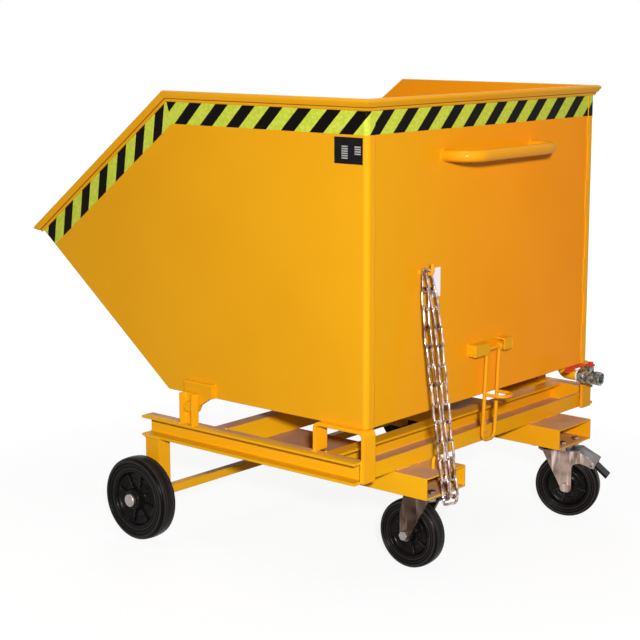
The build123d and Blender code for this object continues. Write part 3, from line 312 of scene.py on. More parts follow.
# light rib edges on the rims are painted highlights
addFinish("rimPlastic", (), colour=(0.004, 0.003, 0.003), colour2=(0.008, 0.006, 0.006), rough=0.20,
          roughSpread=0.1, specular=0.06, cloud=40.0, fine=600.0, bump=0.06, rub=1.0,
          rubColour=(0.20, 0.18, 0.175), edge=0.0014, edgeGrain=25.0)
addFinish("blankPlate", ("type_plate",), colour=(0.005, 0.004, 0.005), colour2=(0.009, 0.008, 0.009),
          rough=0.32, specular=0.05, cloud=30.0, bump=0.02)
addFinish("plateField", (), colour=(0.42, 0.40, 0.37), colour2=(0.36, 0.34, 0.31), rough=0.4, specular=0.25,
          cloud=60.0, bump=0.02)
addFinish("whiteCard", ("tag",), colour=(0.92, 0.88, 0.91), colour2=(0.86, 0.82, 0.85), rough=0.62,
          specular=0.25, cloud=40.0, bump=0.05)
addFinish("whiteSeal", ("valve_seals",), colour=(0.82, 0.81, 0.78), colour2=(0.74, 0.73, 0.70), rough=0.4,
          specular=0.3, cloud=60.0, bump=0.04)
addFinish("redLever", ("valve_lever", "valve_stem"), colour=(0.60, 0.030, 0.016),
          colour2=(0.50, 0.024, 0.013), rough=0.34, specular=0.3, cloud=30.0, bump=0.06, rub=0.3,
          rubColour=(0.36, 0.02, 0.015))
addFinish("hazardTape", (), colour=(0.60, 0.64, 0.075), colour2=(0.46, 0.545, 0.036), rough=0.32,
          roughSpread=0.1, specular=0.04, cloud=150.0, fine=900.0, bump=0.06, edge=0.0, stripes=0.0822,
          stripeEdge=(0.242, 0.230), stripeColour=(0.0030, 0.0020, 0.0012))
print("finishes made:", len(finish))


# piece helpers
def smooth(mesh, angle):
    for polygon in mesh.polygons:
        polygon.use_smooth = True
    mesh.set_sharp_from_angle(angle=math.radians(angle))


def settle(piece, body, replaced):
    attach(piece, body)
    if replaced:
        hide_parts(replaced)


def newObject(name, data):
    holder = bpy.data.objects.new(name, data)
    bpy.context.scene.collection.objects.link(holder)
    return holder


def shapePiece(name, form, finishName, body, replaced, angle=35.0):
    # without an angle the faces stay flat and apart
    if angle:
        bmesh.ops.remove_doubles(form, verts=form.verts, dist=1e-6)
    bmesh.ops.recalc_face_normals(form, faces=form.faces)
    mesh = bpy.data.meshes.new(name)
    form.to_mesh(mesh)
    form.free()
    if angle:
        smooth(mesh, angle)
    mesh.materials.append(finish[finishName])
    settle(newObject(name, mesh), body, replaced)


def growPiece(name, source, tree, values, finishName, body, replaced=None, angle=30.0):
    holder = newObject(name, source)
    modifier = holder.modifiers.new("grow", "NODES")
    modifier.node_group = tree
    values = dict(values, Finish=finish[finishName])
    for item in tree.interface.items_tree:
        if item.in_out == "INPUT" and item.name in values:
            modifier[item.identifier] = values[item.name]
    bpy.context.view_layer.update()
    graph = bpy.context.evaluated_depsgraph_get()
    mesh = bpy.data.meshes.new_from_object(holder.evaluated_get(graph), depsgraph=graph)
    holder.modifiers.clear()
    holder.data = mesh
    smooth(mesh, angle)
    settle(holder, body, replaced)


def circleWays(side, other, count, first=0.0):
    angles = [2 * math.pi * (k + first) / count for k in range(count)]
    return [side * math.cos(angle) + other * math.sin(angle) for angle in angles]


def spokesAround(axis, count, first=0.0):
    side = axis.orthogonal().normalized()
    return circleWays(side, axis.cross(side), count, first)


def roundedPath(points, bend, steps):
    points = [Vector(point) for point in points]
    path = [points[0]]
    for before, corner, after in zip(points, points[1:], points[2:]):
        toBefore = (before - corner).normalized()
        toAfter = (after - corner).normalized()
        half = toBefore.angle(toAfter) / 2
        centre = corner + (toBefore + toAfter).normalized() * (bend / math.sin(half))
        start = corner + toBefore * (bend / math.tan(half)) - centre
        end = corner + toAfter * (bend / math.tan(half)) - centre
        axis = start.cross(end).normalized()
        sweep = start.angle(end)
        for step in range(steps + 1):
            path.append(centre + Matrix.Rotation(sweep * step / steps, 3, axis) @ start)
    path.append(points[-1])
    return path


def joinRings(form, rings, closed):
    count = len(rings[0])
    for near, far in zip(rings, rings[1:] + rings[:1] if closed else rings[1:]):
        for k in range(count):
            form.faces.new((near[k], near[(k + 1) % count], far[(k + 1) % count], far[k]))
    if not closed:
        form.faces.new(list(reversed(rings[0])))
        form.faces.new(rings[-1])


def sweepTube(form, path, radius, sides):
    last = len(path) - 1
    tangents = [(path[min(k + 1, last)] - path[max(k - 1, 0)]).normalized() for k in range(len(path))]
    side = tangents[0].orthogonal().normalized()
    rings = []
    for index, (point, tangent) in enumerate(zip(path, tangents)):
        if index:
            side = tangents[index - 1].rotation_difference(tangent) @ side
        other = tangent.cross(side).normalized()
        rings.append([form.verts.new(point + way * radius) for way in circleWays(side, other, sides)])
    joinRings(form, rings, False)


def bentBar(form, line, sizes):
    path = roundedPath(line, sizes["bend"], sizes["steps"])
    sweepTube(form, path, sizes["radius"], sizes["sides"])


def turnRing(form, profile, centre, axis, segments, bands=None):
    # closed outline of radius and height, turned about an axis; bands marks places in the outline
    crease = form.verts.layers.float.new("crease") if bands else None
    rings = []
    for spoke in spokesAround(axis, segments):
        rings.append([form.verts.new(centre + axis * height + spoke * radius) for radius, height in profile])
        for place, amount in (bands or {}).items():
            rings[-1][place][crease] = amount
    joinRings(form, rings, True)


def bothSides(half):
    # mirror a half outline across the middle plane
    return half + [(radius, -height) for radius, height in reversed(half)]


# Geometry Nodes helpers: copies of a shape on points that store two directions
def newTree(name, sizes):
    inputs = {"Geometry": "Geometry", **sizes, "Finish": "Material"}
    return newGroup("GeometryNodeTree", name, inputs, {"Geometry": "Geometry"})


def endTree(tree, treeIn, treeOut, copies):
    realized = addNode(tree, "GeometryNodeRealizeInstances", {"Geometry": copies.outputs["Instances"]})
    painted = addNode(tree, "GeometryNodeSetMaterial", {"Geometry": realized.outputs["Geometry"],
                                                        "Material": treeIn["Finish"]})
    feed(tree, treeOut["Geometry"], painted.outputs["Geometry"])


def copyOnPoints(tree, treeIn, treeOut, shape):
    # X lies along one stored direction and Z turns towards the other
    rotation = None
    for title, axis, pivot in (("along", "X", "AUTO"), ("face", "Z", "X")):
        stored = addNode(tree, "GeometryNodeInputNamedAttribute", {"Name": title}, data_type="FLOAT_VECTOR")
        align = addNode(tree, "FunctionNodeAlignRotationToVector", {"Vector": stored.outputs["Attribute"]},
                        axis=axis, pivot_axis=pivot)
        if rotation is not None:
            feed(tree, align.inputs["Rotation"], rotation)
        rotation = align.outputs["Rotation"]
    copies = addNode(tree, "GeometryNodeInstanceOnPoints", {"Points": treeIn["Geometry"], "Instance": shape,
                                                            "Rotation": rotation})
    endTree(tree, treeIn, treeOut, copies)


def wireAlong(tree, path, radius, sides):
    wire = addNode(tree, "GeometryNodeCurvePrimitiveCircle", {"Resolution": sides, "Radius": radius})
    tube = addNode(tree, "GeometryNodeCurveToMesh", {"Curve": path.outputs["Curve"],
                                                     "Profile Curve": wire.outputs["Curve"]})
    return tube.outputs["Mesh"]


def pointMesh(name, rows):
    # rows of place, direction along the copy and direction of its face
    mesh = bpy.data.meshes.new(name)
    mesh.from_pydata([tuple(row[0]) for row in rows], [], [])
    for title, column in (("along", 1), ("face", 2)):
        layer = mesh.attributes.new(title, "FLOAT_VECTOR", "POINT")
        for k, row in enumerate(rows):
            layer.data[k].vector = row[column]
    return mesh


# safety chain: round wire links on two strands; spread is how far a strand stands off the middle line
chainSizes = {"wire": 0.006, "pitch": 0.0417, "insideLength": 0.042, "insideWidth": 0.012, "links": 12,
              "split": 8, "top": (0.016, -0.262, 0.674), "bottom": (0.112, -0.291, 0.166), "hookRod": 0.0045,
              "hookPlay": 0.0009, "hookOffset": 0.0047, "hookRun": 8, "lowPlay": 0.0003, "wireSides": 12,
              "endSteps": 5, "endShare": 0.49,
              "spread": (-0.0010, 0.0076, 0.0132, 0.0160, 0.0168, 0.0168, 0.0168, 0.0168, 0.0167, 0.0164,
                         0.0160, 0.0155, 0.0149)}
linkSizes = {"Link Length": chainSizes["insideLength"] + chainSizes["wire"],
             "Link Width": chainSizes["insideWidth"] + chainSizes["wire"],
             "Wire Radius": chainSizes["wire"] / 2}
linkTree, linkIn, linkOut = newTree("chainLinks", linkSizes)
oblong = addNode(linkTree, "GeometryNodeCurvePrimitiveQuadrilateral",
                 {"Width": linkIn["Link Length"], "Height": linkIn["Link Width"]})
roundEnds = addNode(linkTree, "GeometryNodeFilletCurve", {
    "Curve": oblong.outputs["Curve"], "Count": chainSizes["endSteps"], "Limit Radius": True,
    "Radius": maths(linkTree, "MULTIPLY", linkIn["Link Width"], chainSizes["endShare"])}, mode="POLY")
link = wireAlong(linkTree, roundEnds, linkIn["Wire Radius"], chainSizes["wireSides"])
copyOnPoints(linkTree, linkIn, linkOut, link)


def chainStations(side):
    facts = chainSizes
    top = Vector(facts["top"])
    step = (Vector(facts["bottom"]) - top).normalized() * facts["pitch"]
    wanted = []
    for index, spread in enumerate(facts["spread"]):
        shift = facts["hookOffset"] * max(0.0, 1.0 - index / facts["hookRun"])
        lift = facts["hookRod"] + facts["hookPlay"]
        wanted.append(top + step * index + Vector((rearX + side * shift, side * spread, lift)))
    stations = [wanted[0]]
    for before, after in zip(wanted, wanted[1:]):
        stations.append(stations[-1] + (after - before).normalized() * facts["pitch"])
    return stations


def linkRow(start, end, place, flat):
    along = (end - start).normalized()
    across = wayX if flat else wayY
    return place, along, (across - along * across.dot(along)).normalized()


upperLinks, lowerLinks = [], []
strands = [chainStations(-1), chainStations(1)]
for stations in strands:
    for index, (start, end) in enumerate(zip(stations, stations[1:])):
        strandLinks = upperLinks if index < chainSizes["split"] else lowerLinks
        strandLinks.append(linkRow(start, end, (start + end) / 2, index % 2 == 0))
lowStart, lowEnd = [stations[chainSizes["links"]] for stations in strands]
lowDrop = wayZ * (chainSizes["insideWidth"] / 2 - chainSizes["lowPlay"])
lowerLinks.append(linkRow(lowStart, lowEnd, (lowStart + lowEnd) / 2 - lowDrop, True))  # joins the strands
for pieceName, links, body, node in (("chainUpper", upperLinks, "box", "chain_upper"),
                                     ("chainLower", lowerLinks, "chain_end", "chain_lower")):
    linkPoints = pointMesh(pieceName, links)
    growPiece(pieceName, linkPoints, linkTree, linkSizes, "chainSteel", body, node, angle=60.0)
print("chain made:", len(upperLinks) + len(lowerLinks), "links")

# push handle
handleSizes = {"radius": 0.01345, "half": 0.175, "reach": 0.070, "height": 0.926, "bend": 0.050, "steps": 14,
               "sides": 32}
handleX = rearX + handleSizes["reach"]
handleLine = [(x, side * handleSizes["half"], handleSizes["height"]) for x, side in
              ((wallX, -1), (handleX, -1), (handleX, 1), (wallX, 1))]
handleForm = bmesh.new()
bentBar(handleForm, handleLine, handleSizes)
shapePiece("pushHandle", handleForm, "barPaint", "box", "push_handle")

# hook of the chain
hookSizes = {"radius": 0.0045, "reach": 0.032, "rise": 0.024, "bend": 0.0065, "steps": 6, "sides": 16}
hookFoot = Vector((wallX, *chainSizes["top"][1:]))
hookCorner = hookFoot + wayX * (boxSizes["sheet"] + hookSizes["reach"])
hookForm = bmesh.new()
bentBar(hookForm, [hookFoot, hookCorner, hookCorner + wayZ * hookSizes["rise"]], hookSizes)
shapePiece("chainHook", hookForm, "barPaint", "box", "chain_hook")

# latch bail: a long loop on two eyes, with a pull loop across
bailSizes = {"radius": 0.0045, "half": 0.025, "topY": 0.009, "lowY": -0.005, "topZ": 0.457, "bottomZ": 0.246,
             "bend": 0.018, "pinX": 0.010, "pinZ": 0.464, "eyeOuter": 0.0095, "eyeInner": 0.00506,
             "eyeChamfer": 0.0012, "eyeSides": 32, "loopZ": 0.357, "loopReach": 0.062, "loopRadius": 0.0042,
             "loopBend": 0.022, "steps": 8, "sides": 18}
pinX = rearX + bailSizes["pinX"]
loopX = rearX + bailSizes["loopReach"]


def bailPoint(x, side, z):
    share = (bailSizes["topZ"] - z) / (bailSizes["topZ"] - bailSizes["bottomZ"])
    middle = bailSizes["topY"] + (bailSizes["lowY"] - bailSizes["topY"]) * share
    return x, middle + side * bailSizes["half"], z


bailForm = bmesh.new()
bailLine = [bailPoint(pinX, side, bailSizes[level]) for side, level in
            ((-1, "topZ"), (-1, "bottomZ"), (1, "bottomZ"), (1, "topZ"))]
loopLine = [bailPoint(x, side, bailSizes["loopZ"]) for x, side in
            ((pinX, -1), (loopX, -1), (loopX, 1), (pinX, 1))]
bentBar(bailForm, bailLine, bailSizes)
bentBar(bailForm, loopLine, dict(bailSizes, bend=bailSizes["loopBend"], radius=bailSizes["loopRadius"]))
outer, inner = bailSizes["eyeOuter"], bailSizes["eyeInner"]
thick, chamfer = bailSizes["radius"], bailSizes["eyeChamfer"]
eyeProfile = [(inner, -thick), (outer - chamfer, -thick), (outer, -thick + chamfer), (outer, thick - chamfer),
              (outer - chamfer, thick), (inner, thick)]
for side in (-1, 1):
    eyePlace = Vector(bailPoint(pinX, side, bailSizes["topZ"]))
    eyePlace.z = bailSizes["pinZ"]
    turnRing(bailForm, eyeProfile, eyePlace, wayY, bailSizes["eyeSides"])
shapePiece("latchBail", bailForm, "barPaint", "latch", "latch_bail")
print("round bars made")

# wheels: tyre and rim outlines as radius and height from the middle plane
frontTyre = bothSides([
    (0.0720, 0.0205), (0.0735, 0.0212), (0.0750, 0.0214), (0.0762, 0.0209), (0.0770, 0.0199),
    (0.0780, 0.0196), (0.0792, 0.0202), (0.0802, 0.0216), (0.0814, 0.0225), (0.0828, 0.0226),
    (0.0838, 0.0220), (0.0846, 0.0211), (0.0856, 0.0209), (0.0866, 0.0215), (0.0874, 0.0228),
    (0.0886, 0.0239), (0.0902, 0.0244), (0.0920, 0.0243), (0.0936, 0.0236), (0.0950, 0.0224),
    (0.0964, 0.0211), (0.0975, 0.0200), (0.0982, 0.0189), (0.0976, 0.0180), (0.0966, 0.0174),
    (0.0966, 0.0166), (0.0978, 0.0160), (0.0990, 0.0150), (0.0994, 0.0112), (0.0970, 0.0106),
    (0.0970, 0.0092), (0.0996, 0.0086), (0.1000, 0.0040)])
frontRim = bothSides([
    (0.0140, 0.0300), (0.0215, 0.0300), (0.0235, 0.0285), (0.0245, 0.0250), (0.0262, 0.0100),
    (0.0290, 0.0075), (0.0400, 0.0068), (0.0420, 0.0085), (0.0450, 0.0085), (0.0470, 0.0068),
    (0.0560, 0.0072), (0.0610, 0.0100), (0.0635, 0.0160), (0.0650, 0.0200), (0.0668, 0.0213),
    (0.0700, 0.0213), (0.0720, 0.0205)])
castorRim = bothSides([
    (0.0061, 0.0250), (0.0130, 0.0250), (0.0158, 0.0242), (0.0168, 0.0215), (0.0182, 0.0085),
    (0.0210, 0.0062), (0.0300, 0.0056), (0.0316, 0.0070), (0.0340, 0.0070), (0.0356, 0.0056),
    (0.0440, 0.0060), (0.0480, 0.0085), (0.0505, 0.0130), (0.0520, 0.0160), (0.0535, 0.0171),
    (0.0560, 0.0171), (0.0576, 0.0165)])
castorShare = 0.8
castorTyre = [(radius * castorShare, height * castorShare) for radius, height in frontTyre]
wheelSizes = {"tyreSides": 112, "rimSides": 84, "ribs": 8, "ribThick": 0.0020, "firstRib": 0.3}
glintCrests = {1: 0.7, 2: 0.9, 3: 0.7, 8: 0.5, 9: 0.7, 10: 0.5, 15: 0.6, 16: 1.0, 17: 1.0, 18: 0.7, 27: 1.0,
              28: 1.0, 31: 0.8, 32: 0.4}  # places in the tyre's outline that get a painted highlight
glintCrests.update({len(frontTyre) - 1 - place: amount for place, amount in glintCrests.items()})
ribTree, ribIn, ribOut = newTree("wheelRibs", {"Rib Length": 0.03, "Rib Thick": 0.0022, "Rib Height": 0.02})
ribSize = addNode(ribTree, "ShaderNodeCombineXYZ", {"X": ribIn["Rib Length"], "Y": ribIn["Rib Thick"],
                                                    "Z": ribIn["Rib Height"]})
rib = addNode(ribTree, "GeometryNodeMeshCube", {"Size": ribSize.outputs["Vector"]})
copyOnPoints(ribTree, ribIn, ribOut, rib.outputs["Mesh"])
frontWheel = {"tyre": frontTyre, "rim": frontRim, "ribFrom": 0.0265, "ribTo": 0.0600, "ribHigh": 0.0250}
castorWheel = {"tyre": castorTyre, "rim": castorRim, "ribFrom": 0.0185, "ribTo": 0.0480, "ribHigh": 0.0190}
wheelList = (("wheelLeft", "wheel_left", "wheel_left", frontWheel),
             ("wheelRight", "wheel_right", "wheel_right", frontWheel),
             ("castorLeft", "castor_left", "castor_left_wheel", castorWheel),
             ("castorRight", "castor_right", "castor_right_wheel", castorWheel))
for title, prefix, body, facts in wheelList:
    centre = Vector(joints[prefix + "_roll"]["pos_m"])
    axle = Vector(joints[prefix + "_roll"]["axis"]).normalized()
    tyreForm, rimForm = bmesh.new(), bmesh.new()
    turnRing(tyreForm, facts["tyre"], centre, axle, wheelSizes["tyreSides"], glintCrests)
    turnRing(rimForm, facts["rim"], centre, axle, wheelSizes["rimSides"])
    shapePiece(title + "Tyre", tyreForm, "tyreRubber", body, prefix + "_tyre", angle=50.0)
    shapePiece(title + "Rim", rimForm, "rimPlastic", body, prefix + "_rim", angle=42.0)
    ribMiddle = (facts["ribFrom"] + facts["ribTo"]) / 2
    ribRows = [(centre + spoke * ribMiddle, spoke, axle) for spoke in
               spokesAround(axle, wheelSizes["ribs"], wheelSizes["firstRib"])]
    growPiece(title + "Ribs", pointMesh(title + "Ribs", ribRows), ribTree,
              {"Rib Length": facts["ribTo"] - facts["ribFrom"], "Rib Thick": wheelSizes["ribThick"],
               "Rib Height": facts["ribHigh"]}, "rimPlastic", body)
print("wheels made:", len(wheelList))

# nuts on the ends of the brake pin: washer, hexagon and the end of the thread
nutSizes = {"Flats": 0.0125, "Height": 0.0036, "Washer Radius": 0.0076, "Washer Thick": 0.0009,
            "Thread Radius": 0.0038, "Thread Out": 0.0046}
pinReach = 0.0301  # from the middle of the pin to a nut's seat
nutTree, nutIn, nutOut = newTree("pinNuts", nutSizes)
nut = addNode(nutTree, "GeometryNodeJoinGeometry")
for sides, radiusName, depthName, share in ((20, "Washer Radius", "Washer Thick", 1.0),
                                            (6, "Flats", "Height", 1.0 / math.sqrt(3.0)),
                                            (16, "Thread Radius", "Thread Out", 1.0)):
    radius = maths(nutTree, "MULTIPLY", nutIn[radiusName], share)
    disc = addNode(nutTree, "GeometryNodeMeshCylinder",
                   {"Vertices": sides, "Radius": radius, "Depth": nutIn[depthName]})
    lift = addNode(nutTree, "ShaderNodeCombineXYZ", {"Z": maths(nutTree, "MULTIPLY", nutIn[depthName], 0.5)})
    lifted = addNode(nutTree, "GeometryNodeTransform", {"Geometry": disc.outputs["Mesh"],
                                                        "Translation": lift.outputs["Vector"]})
    feed(nutTree, nut.inputs["Geometry"], lifted.outputs["Geometry"])
copyOnPoints(nutTree, nutIn, nutOut, nut.outputs["Geometry"])
pinAxis = Vector(joints["brake_press"]["axis"])
pinMiddle = Vector(joints["brake_press"]["pos_m"])
nutRows = [(pinMiddle + pinAxis * (side * pinReach), wayZ, pinAxis * side) for side in (-1, 1)]
growPiece("brakeNuts", pointMesh("brakeNuts", nutRows), nutTree, nutSizes, "zinc", "castor_right")

# turned rings on the drain valve's body
ringSizes = {"Ring Radius": 0.0158, "Wire Radius": 0.0009}
ringFacts = {"places": (-0.0150, -0.0125, 0.0125, 0.0150), "sides": 40, "wireSides": 8}
ringTree, ringIn, ringOut = newTree("valveRings", ringSizes)
ringLine = addNode(ringTree, "GeometryNodeCurvePrimitiveCircle",
                   {"Resolution": ringFacts["sides"], "Radius": ringIn["Ring Radius"]})
ringTube = wireAlong(ringTree, ringLine, ringIn["Wire Radius"], ringFacts["wireSides"])
copyOnPoints(ringTree, ringIn, ringOut, ringTube)
valveMiddle = Vector(joints["valve_turn"]["pos_m"])
ringRows = [(valveMiddle + wayX * place, wayZ, wayX) for place in ringFacts["places"]]
growPiece("valveRings", pointMesh("valveRings", ringRows), ringTree, ringSizes, "nickel", "box",
          angle=60.0)
print("nuts and valve rings made")


# outline of the box's side: points of x and height
def flat(point):
    return Vector((point[0] + rearX, point[1]))


def lineMeet(p, d, q, e):
    cross = d.x * e.y - d.y * e.x
    return p + d * (((q.x - p.x) * e.y - (q.y - p.y) * e.x) / cross)


lipPoint, kneePoint, bendPoint = [flat(boxSizes[key]) for key in ("lip", "knuckle", "floorFront")]
slantWay = (lipPoint - kneePoint).normalized()
slopeWay = (lipPoint - bendPoint).normalized()
slantUp = Vector((slantWay.y, -slantWay.x))


def belowRim(drop):
    # rear corner, knuckle and lip of a line that runs below the rim
    high = Vector((rearX, kneePoint.y - drop))
    low = lipPoint - slantUp * drop
    return high, lineMeet(high, Vector((-1, 0)), low, slantWay), lineMeet(low, slantWay, bendPoint, slopeWay)


# folded rim: a rounded nose over a shallow groove and a slanted skirt, mitred at the corners
rimSizes = {"cap": 0.003, "rearCap": 0.006, "foot": 0.0004, "rearFoot": 0.0034, "noseDrop": 0.0085}
rimNose = [(0.0030, 0.0), (0.0060, -0.0004), (0.0088, -0.0015), (0.0108, -0.0030), (0.0118, -0.0050),
           (0.0116, -0.0070), (0.0105, -0.0088), (0.0088, -0.0116), (0.0067, -0.0148), (0.0052, -0.0170),
           (0.0040, -0.0175), (0.0024, -0.0179), (0.0024, -0.0188), (0.0027, -0.0196), (0.0019, -0.0222),
           (0.0009, -0.0242)]
creasePoints = (11, 12, 13)  # places in the outline that get painted shade, under the hem


def rimProfile(cap, foot, lean):
    # outward and up; lean is how far the wall behind the skirt runs outward for each step down
    drop, sheet, noseDrop = boxSizes["rimDrop"], boxSizes["sheet"], rimSizes["noseDrop"]
    outline = [(-cap, 0.0)]
    for out, up in rimNose:
        share = max(0.0, (-up - noseDrop) / (drop - noseDrop))
        outline.append((out + lean * drop * share, up))
    return outline + [(lean * drop, -drop), (lean * drop - foot, -drop), (lean * sheet - foot, -sheet),
                      (lean * sheet - cap, -sheet)]


def loft(form, rings):
    crease = form.verts.layers.float.get("crease") or form.verts.layers.float.new("crease")
    shells = [[form.verts.new(point) for point in ring] for ring in rings]
    for shell in shells:
        for place in creasePoints:
            shell[place][crease] = 1.0
    joinRings(form, shells, False)


def rearCorner(side, out, up):
    return Vector((rearX + out, side * (halfY + out), kneePoint.y + up))


def kneeCorner(side, out, up):
    spot = belowRim(-up)[1]
    return Vector((spot.x, side * (halfY + out), spot.y))


def lipCorner(side, out, up):
    spot = lipPoint + slantWay * out + slantUp * up
    return Vector((spot.x, side * (halfY + out), spot.y))


lipLean = slopeWay.dot(slantWay) / slopeWay.dot(slantUp)
sideOutline = rimProfile(rimSizes["cap"], rimSizes["foot"], 0.0)
rearOutline = rimProfile(rimSizes["rearCap"], rimSizes["rearFoot"], 0.0)
lipOutline = rimProfile(rimSizes["cap"], rimSizes["foot"], -lipLean)
sideCorners = (rearCorner, kneeCorner, lipCorner)
sideForm, endForm = bmesh.new(), bmesh.new()
for side in (-1, 1):
    loft(sideForm, [[corner(side, out, up) for out, up in sideOutline] for corner in sideCorners])
for corner, outline in ((rearCorner, rearOutline), (lipCorner, lipOutline)):
    loft(endForm, [[corner(side, out, up) for out, up in outline] for side in (-1, 1)])
shapePiece("rimSides", sideForm, "rimPaint", "box", "rim_sides", angle=28.0)
shapePiece("rimEnds", endForm, "rimPaint", "box", "rim_ends", angle=28.0)
print("rim made")

# hazard tape: one strip each side from lip to corner, one across the rear, with the run stored as a UV map
tapeSizes = {"thick": 0.0004, "width": 0.050, "gap": 0.0004, "endGap": 0.0015, "bendSteps": 8}
tapeStarts = {"slant": 0.0425, "level": 0.0986, "rear": 0.01725, "rearStretch": 0.9728,
              "foldStretch": 1.147}  # where the pattern begins on each length, and its stretch
tapeTop = belowRim(boxSizes["rimDrop"] + tapeSizes["gap"])
tapeLow = belowRim(boxSizes["rimDrop"] + tapeSizes["gap"] + tapeSizes["width"])


def tapeStrip(form, runLayer, stations):
    # stations: lower point, upper point, outward way, runs at the two points
    shells, runPairs = [], []
    for low, high, outward, runs in stations:
        lift = outward * tapeSizes["thick"]
        shells.append([form.verts.new(point) for point in (low, high, low + lift, high + lift)])
        runPairs.append(list(zip(runs, (0.0, tapeSizes["width"]))))
    for a, b, first, second in zip(shells, shells[1:], runPairs, runPairs[1:]):
        runs = first + second
        for corners, keys in (((a[2], b[2], b[3], a[3]), (0, 2, 3, 1)),
                              ((a[0], a[1], b[1], b[0]), (0, 1, 3, 2)),
                              ((a[0], b[0], b[2], a[2]), (0, 2, 2, 0)),
                              ((a[3], b[3], b[1], a[1]), (1, 3, 3, 1))):
            for loop, key in zip(form.faces.new(corners).loops, keys):
                loop[runLayer].uv = runs[key]
    for end, order in ((0, (0, 2, 3, 1)), (-1, (0, 1, 3, 2))):
        for loop in form.faces.new([shells[end][k] for k in order]).loops:
            loop[runLayer].uv = runPairs[end][0]


def sideStation(side, low, high, runs):
    spots = [Vector((point.x, side * halfY, point.y)) for point in (low, high)]
    return (*spots, wayY * side, [-side * run for run in runs])


def uprightStation(x, y, outward, run):
    return Vector((x, y, tapeLow[0].y)), Vector((x, y, tapeTop[0].y)), outward, (run, run)


tapeForm = bmesh.new()
runLayer = tapeForm.loops.layers.uv.new("tapeRun")
bend = boxSizes["cornerBend"]
sideRun = tapeStarts["level"] - bend
arcRun = bend * math.pi / 2 * tapeStarts["foldStretch"]
flangeRun = (boxSizes["cornerFlange"] - bend) * tapeStarts["foldStretch"]
lipGap = slantWay * tapeSizes["endGap"]
tapeLip = (tapeLow[2] - lipGap, tapeTop[2] - lipGap)
tapeKnee = (tapeLow[1], tapeTop[1])
rearStations = []
for side in (-1, 1):
    slantStations = []
    for low, high in (tapeLip, tapeKnee):  # slanted length up to the knuckle
        runs = [(lipPoint - point).dot(slantWay) + tapeStarts["slant"] for point in (low, high)]
        slantStations.append(sideStation(side, low, high, runs))
    tapeStrip(tapeForm, runLayer, slantStations)
    runs = [point.x - rearX + tapeStarts["level"] for point in tapeKnee]
    levelStations = [sideStation(side, *tapeKnee, runs)]
    for step in range(tapeSizes["bendSteps"] + 1):  # level length and the bend round the rear corner
        share = step / tapeSizes["bendSteps"]
        way = Vector((math.sin(math.pi / 2 * share), side * math.cos(math.pi / 2 * share), 0))
        spot = Vector((rearX - bend, side * (halfY - bend), 0)) + way * bend
        levelStations.append(uprightStation(spot.x, spot.y, way, -side * (sideRun + arcRun * share)))
    lastRun = -side * (sideRun + arcRun + flangeRun)
    levelStations.append(uprightStation(rearX, side * flangeY, wayX, lastRun))
    tapeStrip(tapeForm, runLayer, levelStations)
    rearRun = (halfY + side * flangeY + tapeStarts["rear"]) * tapeStarts["rearStretch"]
    rearStations.append(uprightStation(wallX, side * flangeY, wayX, rearRun))
tapeStrip(tapeForm, runLayer, rearStations)
shapePiece("hazardTape", tapeForm, "hazardTape", "box", "hazard_tape", angle=None)
print("tape made")

# blank fields on the type plate: two columns of plain bars
fieldSizes = {"bar": (0.0170, 0.0030, 0.0002), "columns": ((0.37, 6), (0.83, 4)), "sunk": 0.00005,
              "fromTop": 0.0195, "pitch": 0.0049}
plateLow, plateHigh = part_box("type_plate")
fieldTree, fieldIn, fieldOut = newTree("plateFields", {"Bar Size": fieldSizes["bar"]})
fieldBar = addNode(fieldTree, "GeometryNodeMeshCube", {"Size": fieldIn["Bar Size"]})
copyOnPoints(fieldTree, fieldIn, fieldOut, fieldBar.outputs["Mesh"])
fieldRows = []
for column, rows in fieldSizes["columns"]:
    for row in range(rows):
        place = Vector((plateLow.x + (plateHigh.x - plateLow.x) * column, plateLow.y + fieldSizes["sunk"],
                        plateHigh.z - fieldSizes["fromTop"] - row * fieldSizes["pitch"]))
        fieldRows.append((place, wayX, -wayY))
growPiece("plateFields", pointMesh("plateFields", fieldRows), fieldTree, {"Bar Size": fieldSizes["bar"]},
          "plateField", "box")

# weld beads: overlapping drops along each seam
dropSizes = {"segments": 8, "rings": 5, "smallest": (0.85, 0.85, 0.70), "largest": (1.10, 1.05, 0.85)}
beadTree, beadIn, beadOut = newTree("weldBeads", {"Drop Pitch": 0.0032, "Drop Radius": 0.003, "Seed": 7})
seam = addNode(beadTree, "GeometryNodeMeshToCurve", {"Mesh": beadIn["Geometry"]})
evenSeam = addNode(beadTree, "GeometryNodeResampleCurve",
                   {"Curve": seam.outputs["Curve"], "Length": beadIn["Drop Pitch"]}, mode="LENGTH")
drop = addNode(beadTree, "GeometryNodeMeshUVSphere", {
    "Segments": dropSizes["segments"], "Rings": dropSizes["rings"], "Radius": beadIn["Drop Radius"]})
dropScale = addNode(beadTree, "FunctionNodeRandomValue", {
    0: dropSizes["smallest"], 1: dropSizes["largest"], "Seed": beadIn["Seed"]}, data_type="FLOAT_VECTOR")
dropCopies = addNode(beadTree, "GeometryNodeInstanceOnPoints", {
    "Points": evenSeam.outputs["Curve"], "Instance": drop.outputs["Mesh"],
    "Scale": dropScale.outputs["Value"]})
endTree(beadTree, beadIn, beadOut, dropCopies)


def growWelds(name, lines, finishName, body, pitch, radius, seed):
    mesh = bpy.data.meshes.new(name)
    points, edges = [], []
    for line in lines:
        edges += [(len(points) + k, len(points) + k + 1) for k in range(len(line) - 1)]
        points += [tuple(point) for point in line]
    mesh.from_pydata(points, edges, [])
    growPiece(name, mesh, beadTree, {"Drop Pitch": pitch, "Drop Radius": radius, "Seed": seed}, finishName,
              body, angle=60.0)


def mirrored(lines):
    return lines + [[(x, -y, z) for x, y, z in line] for line in lines]


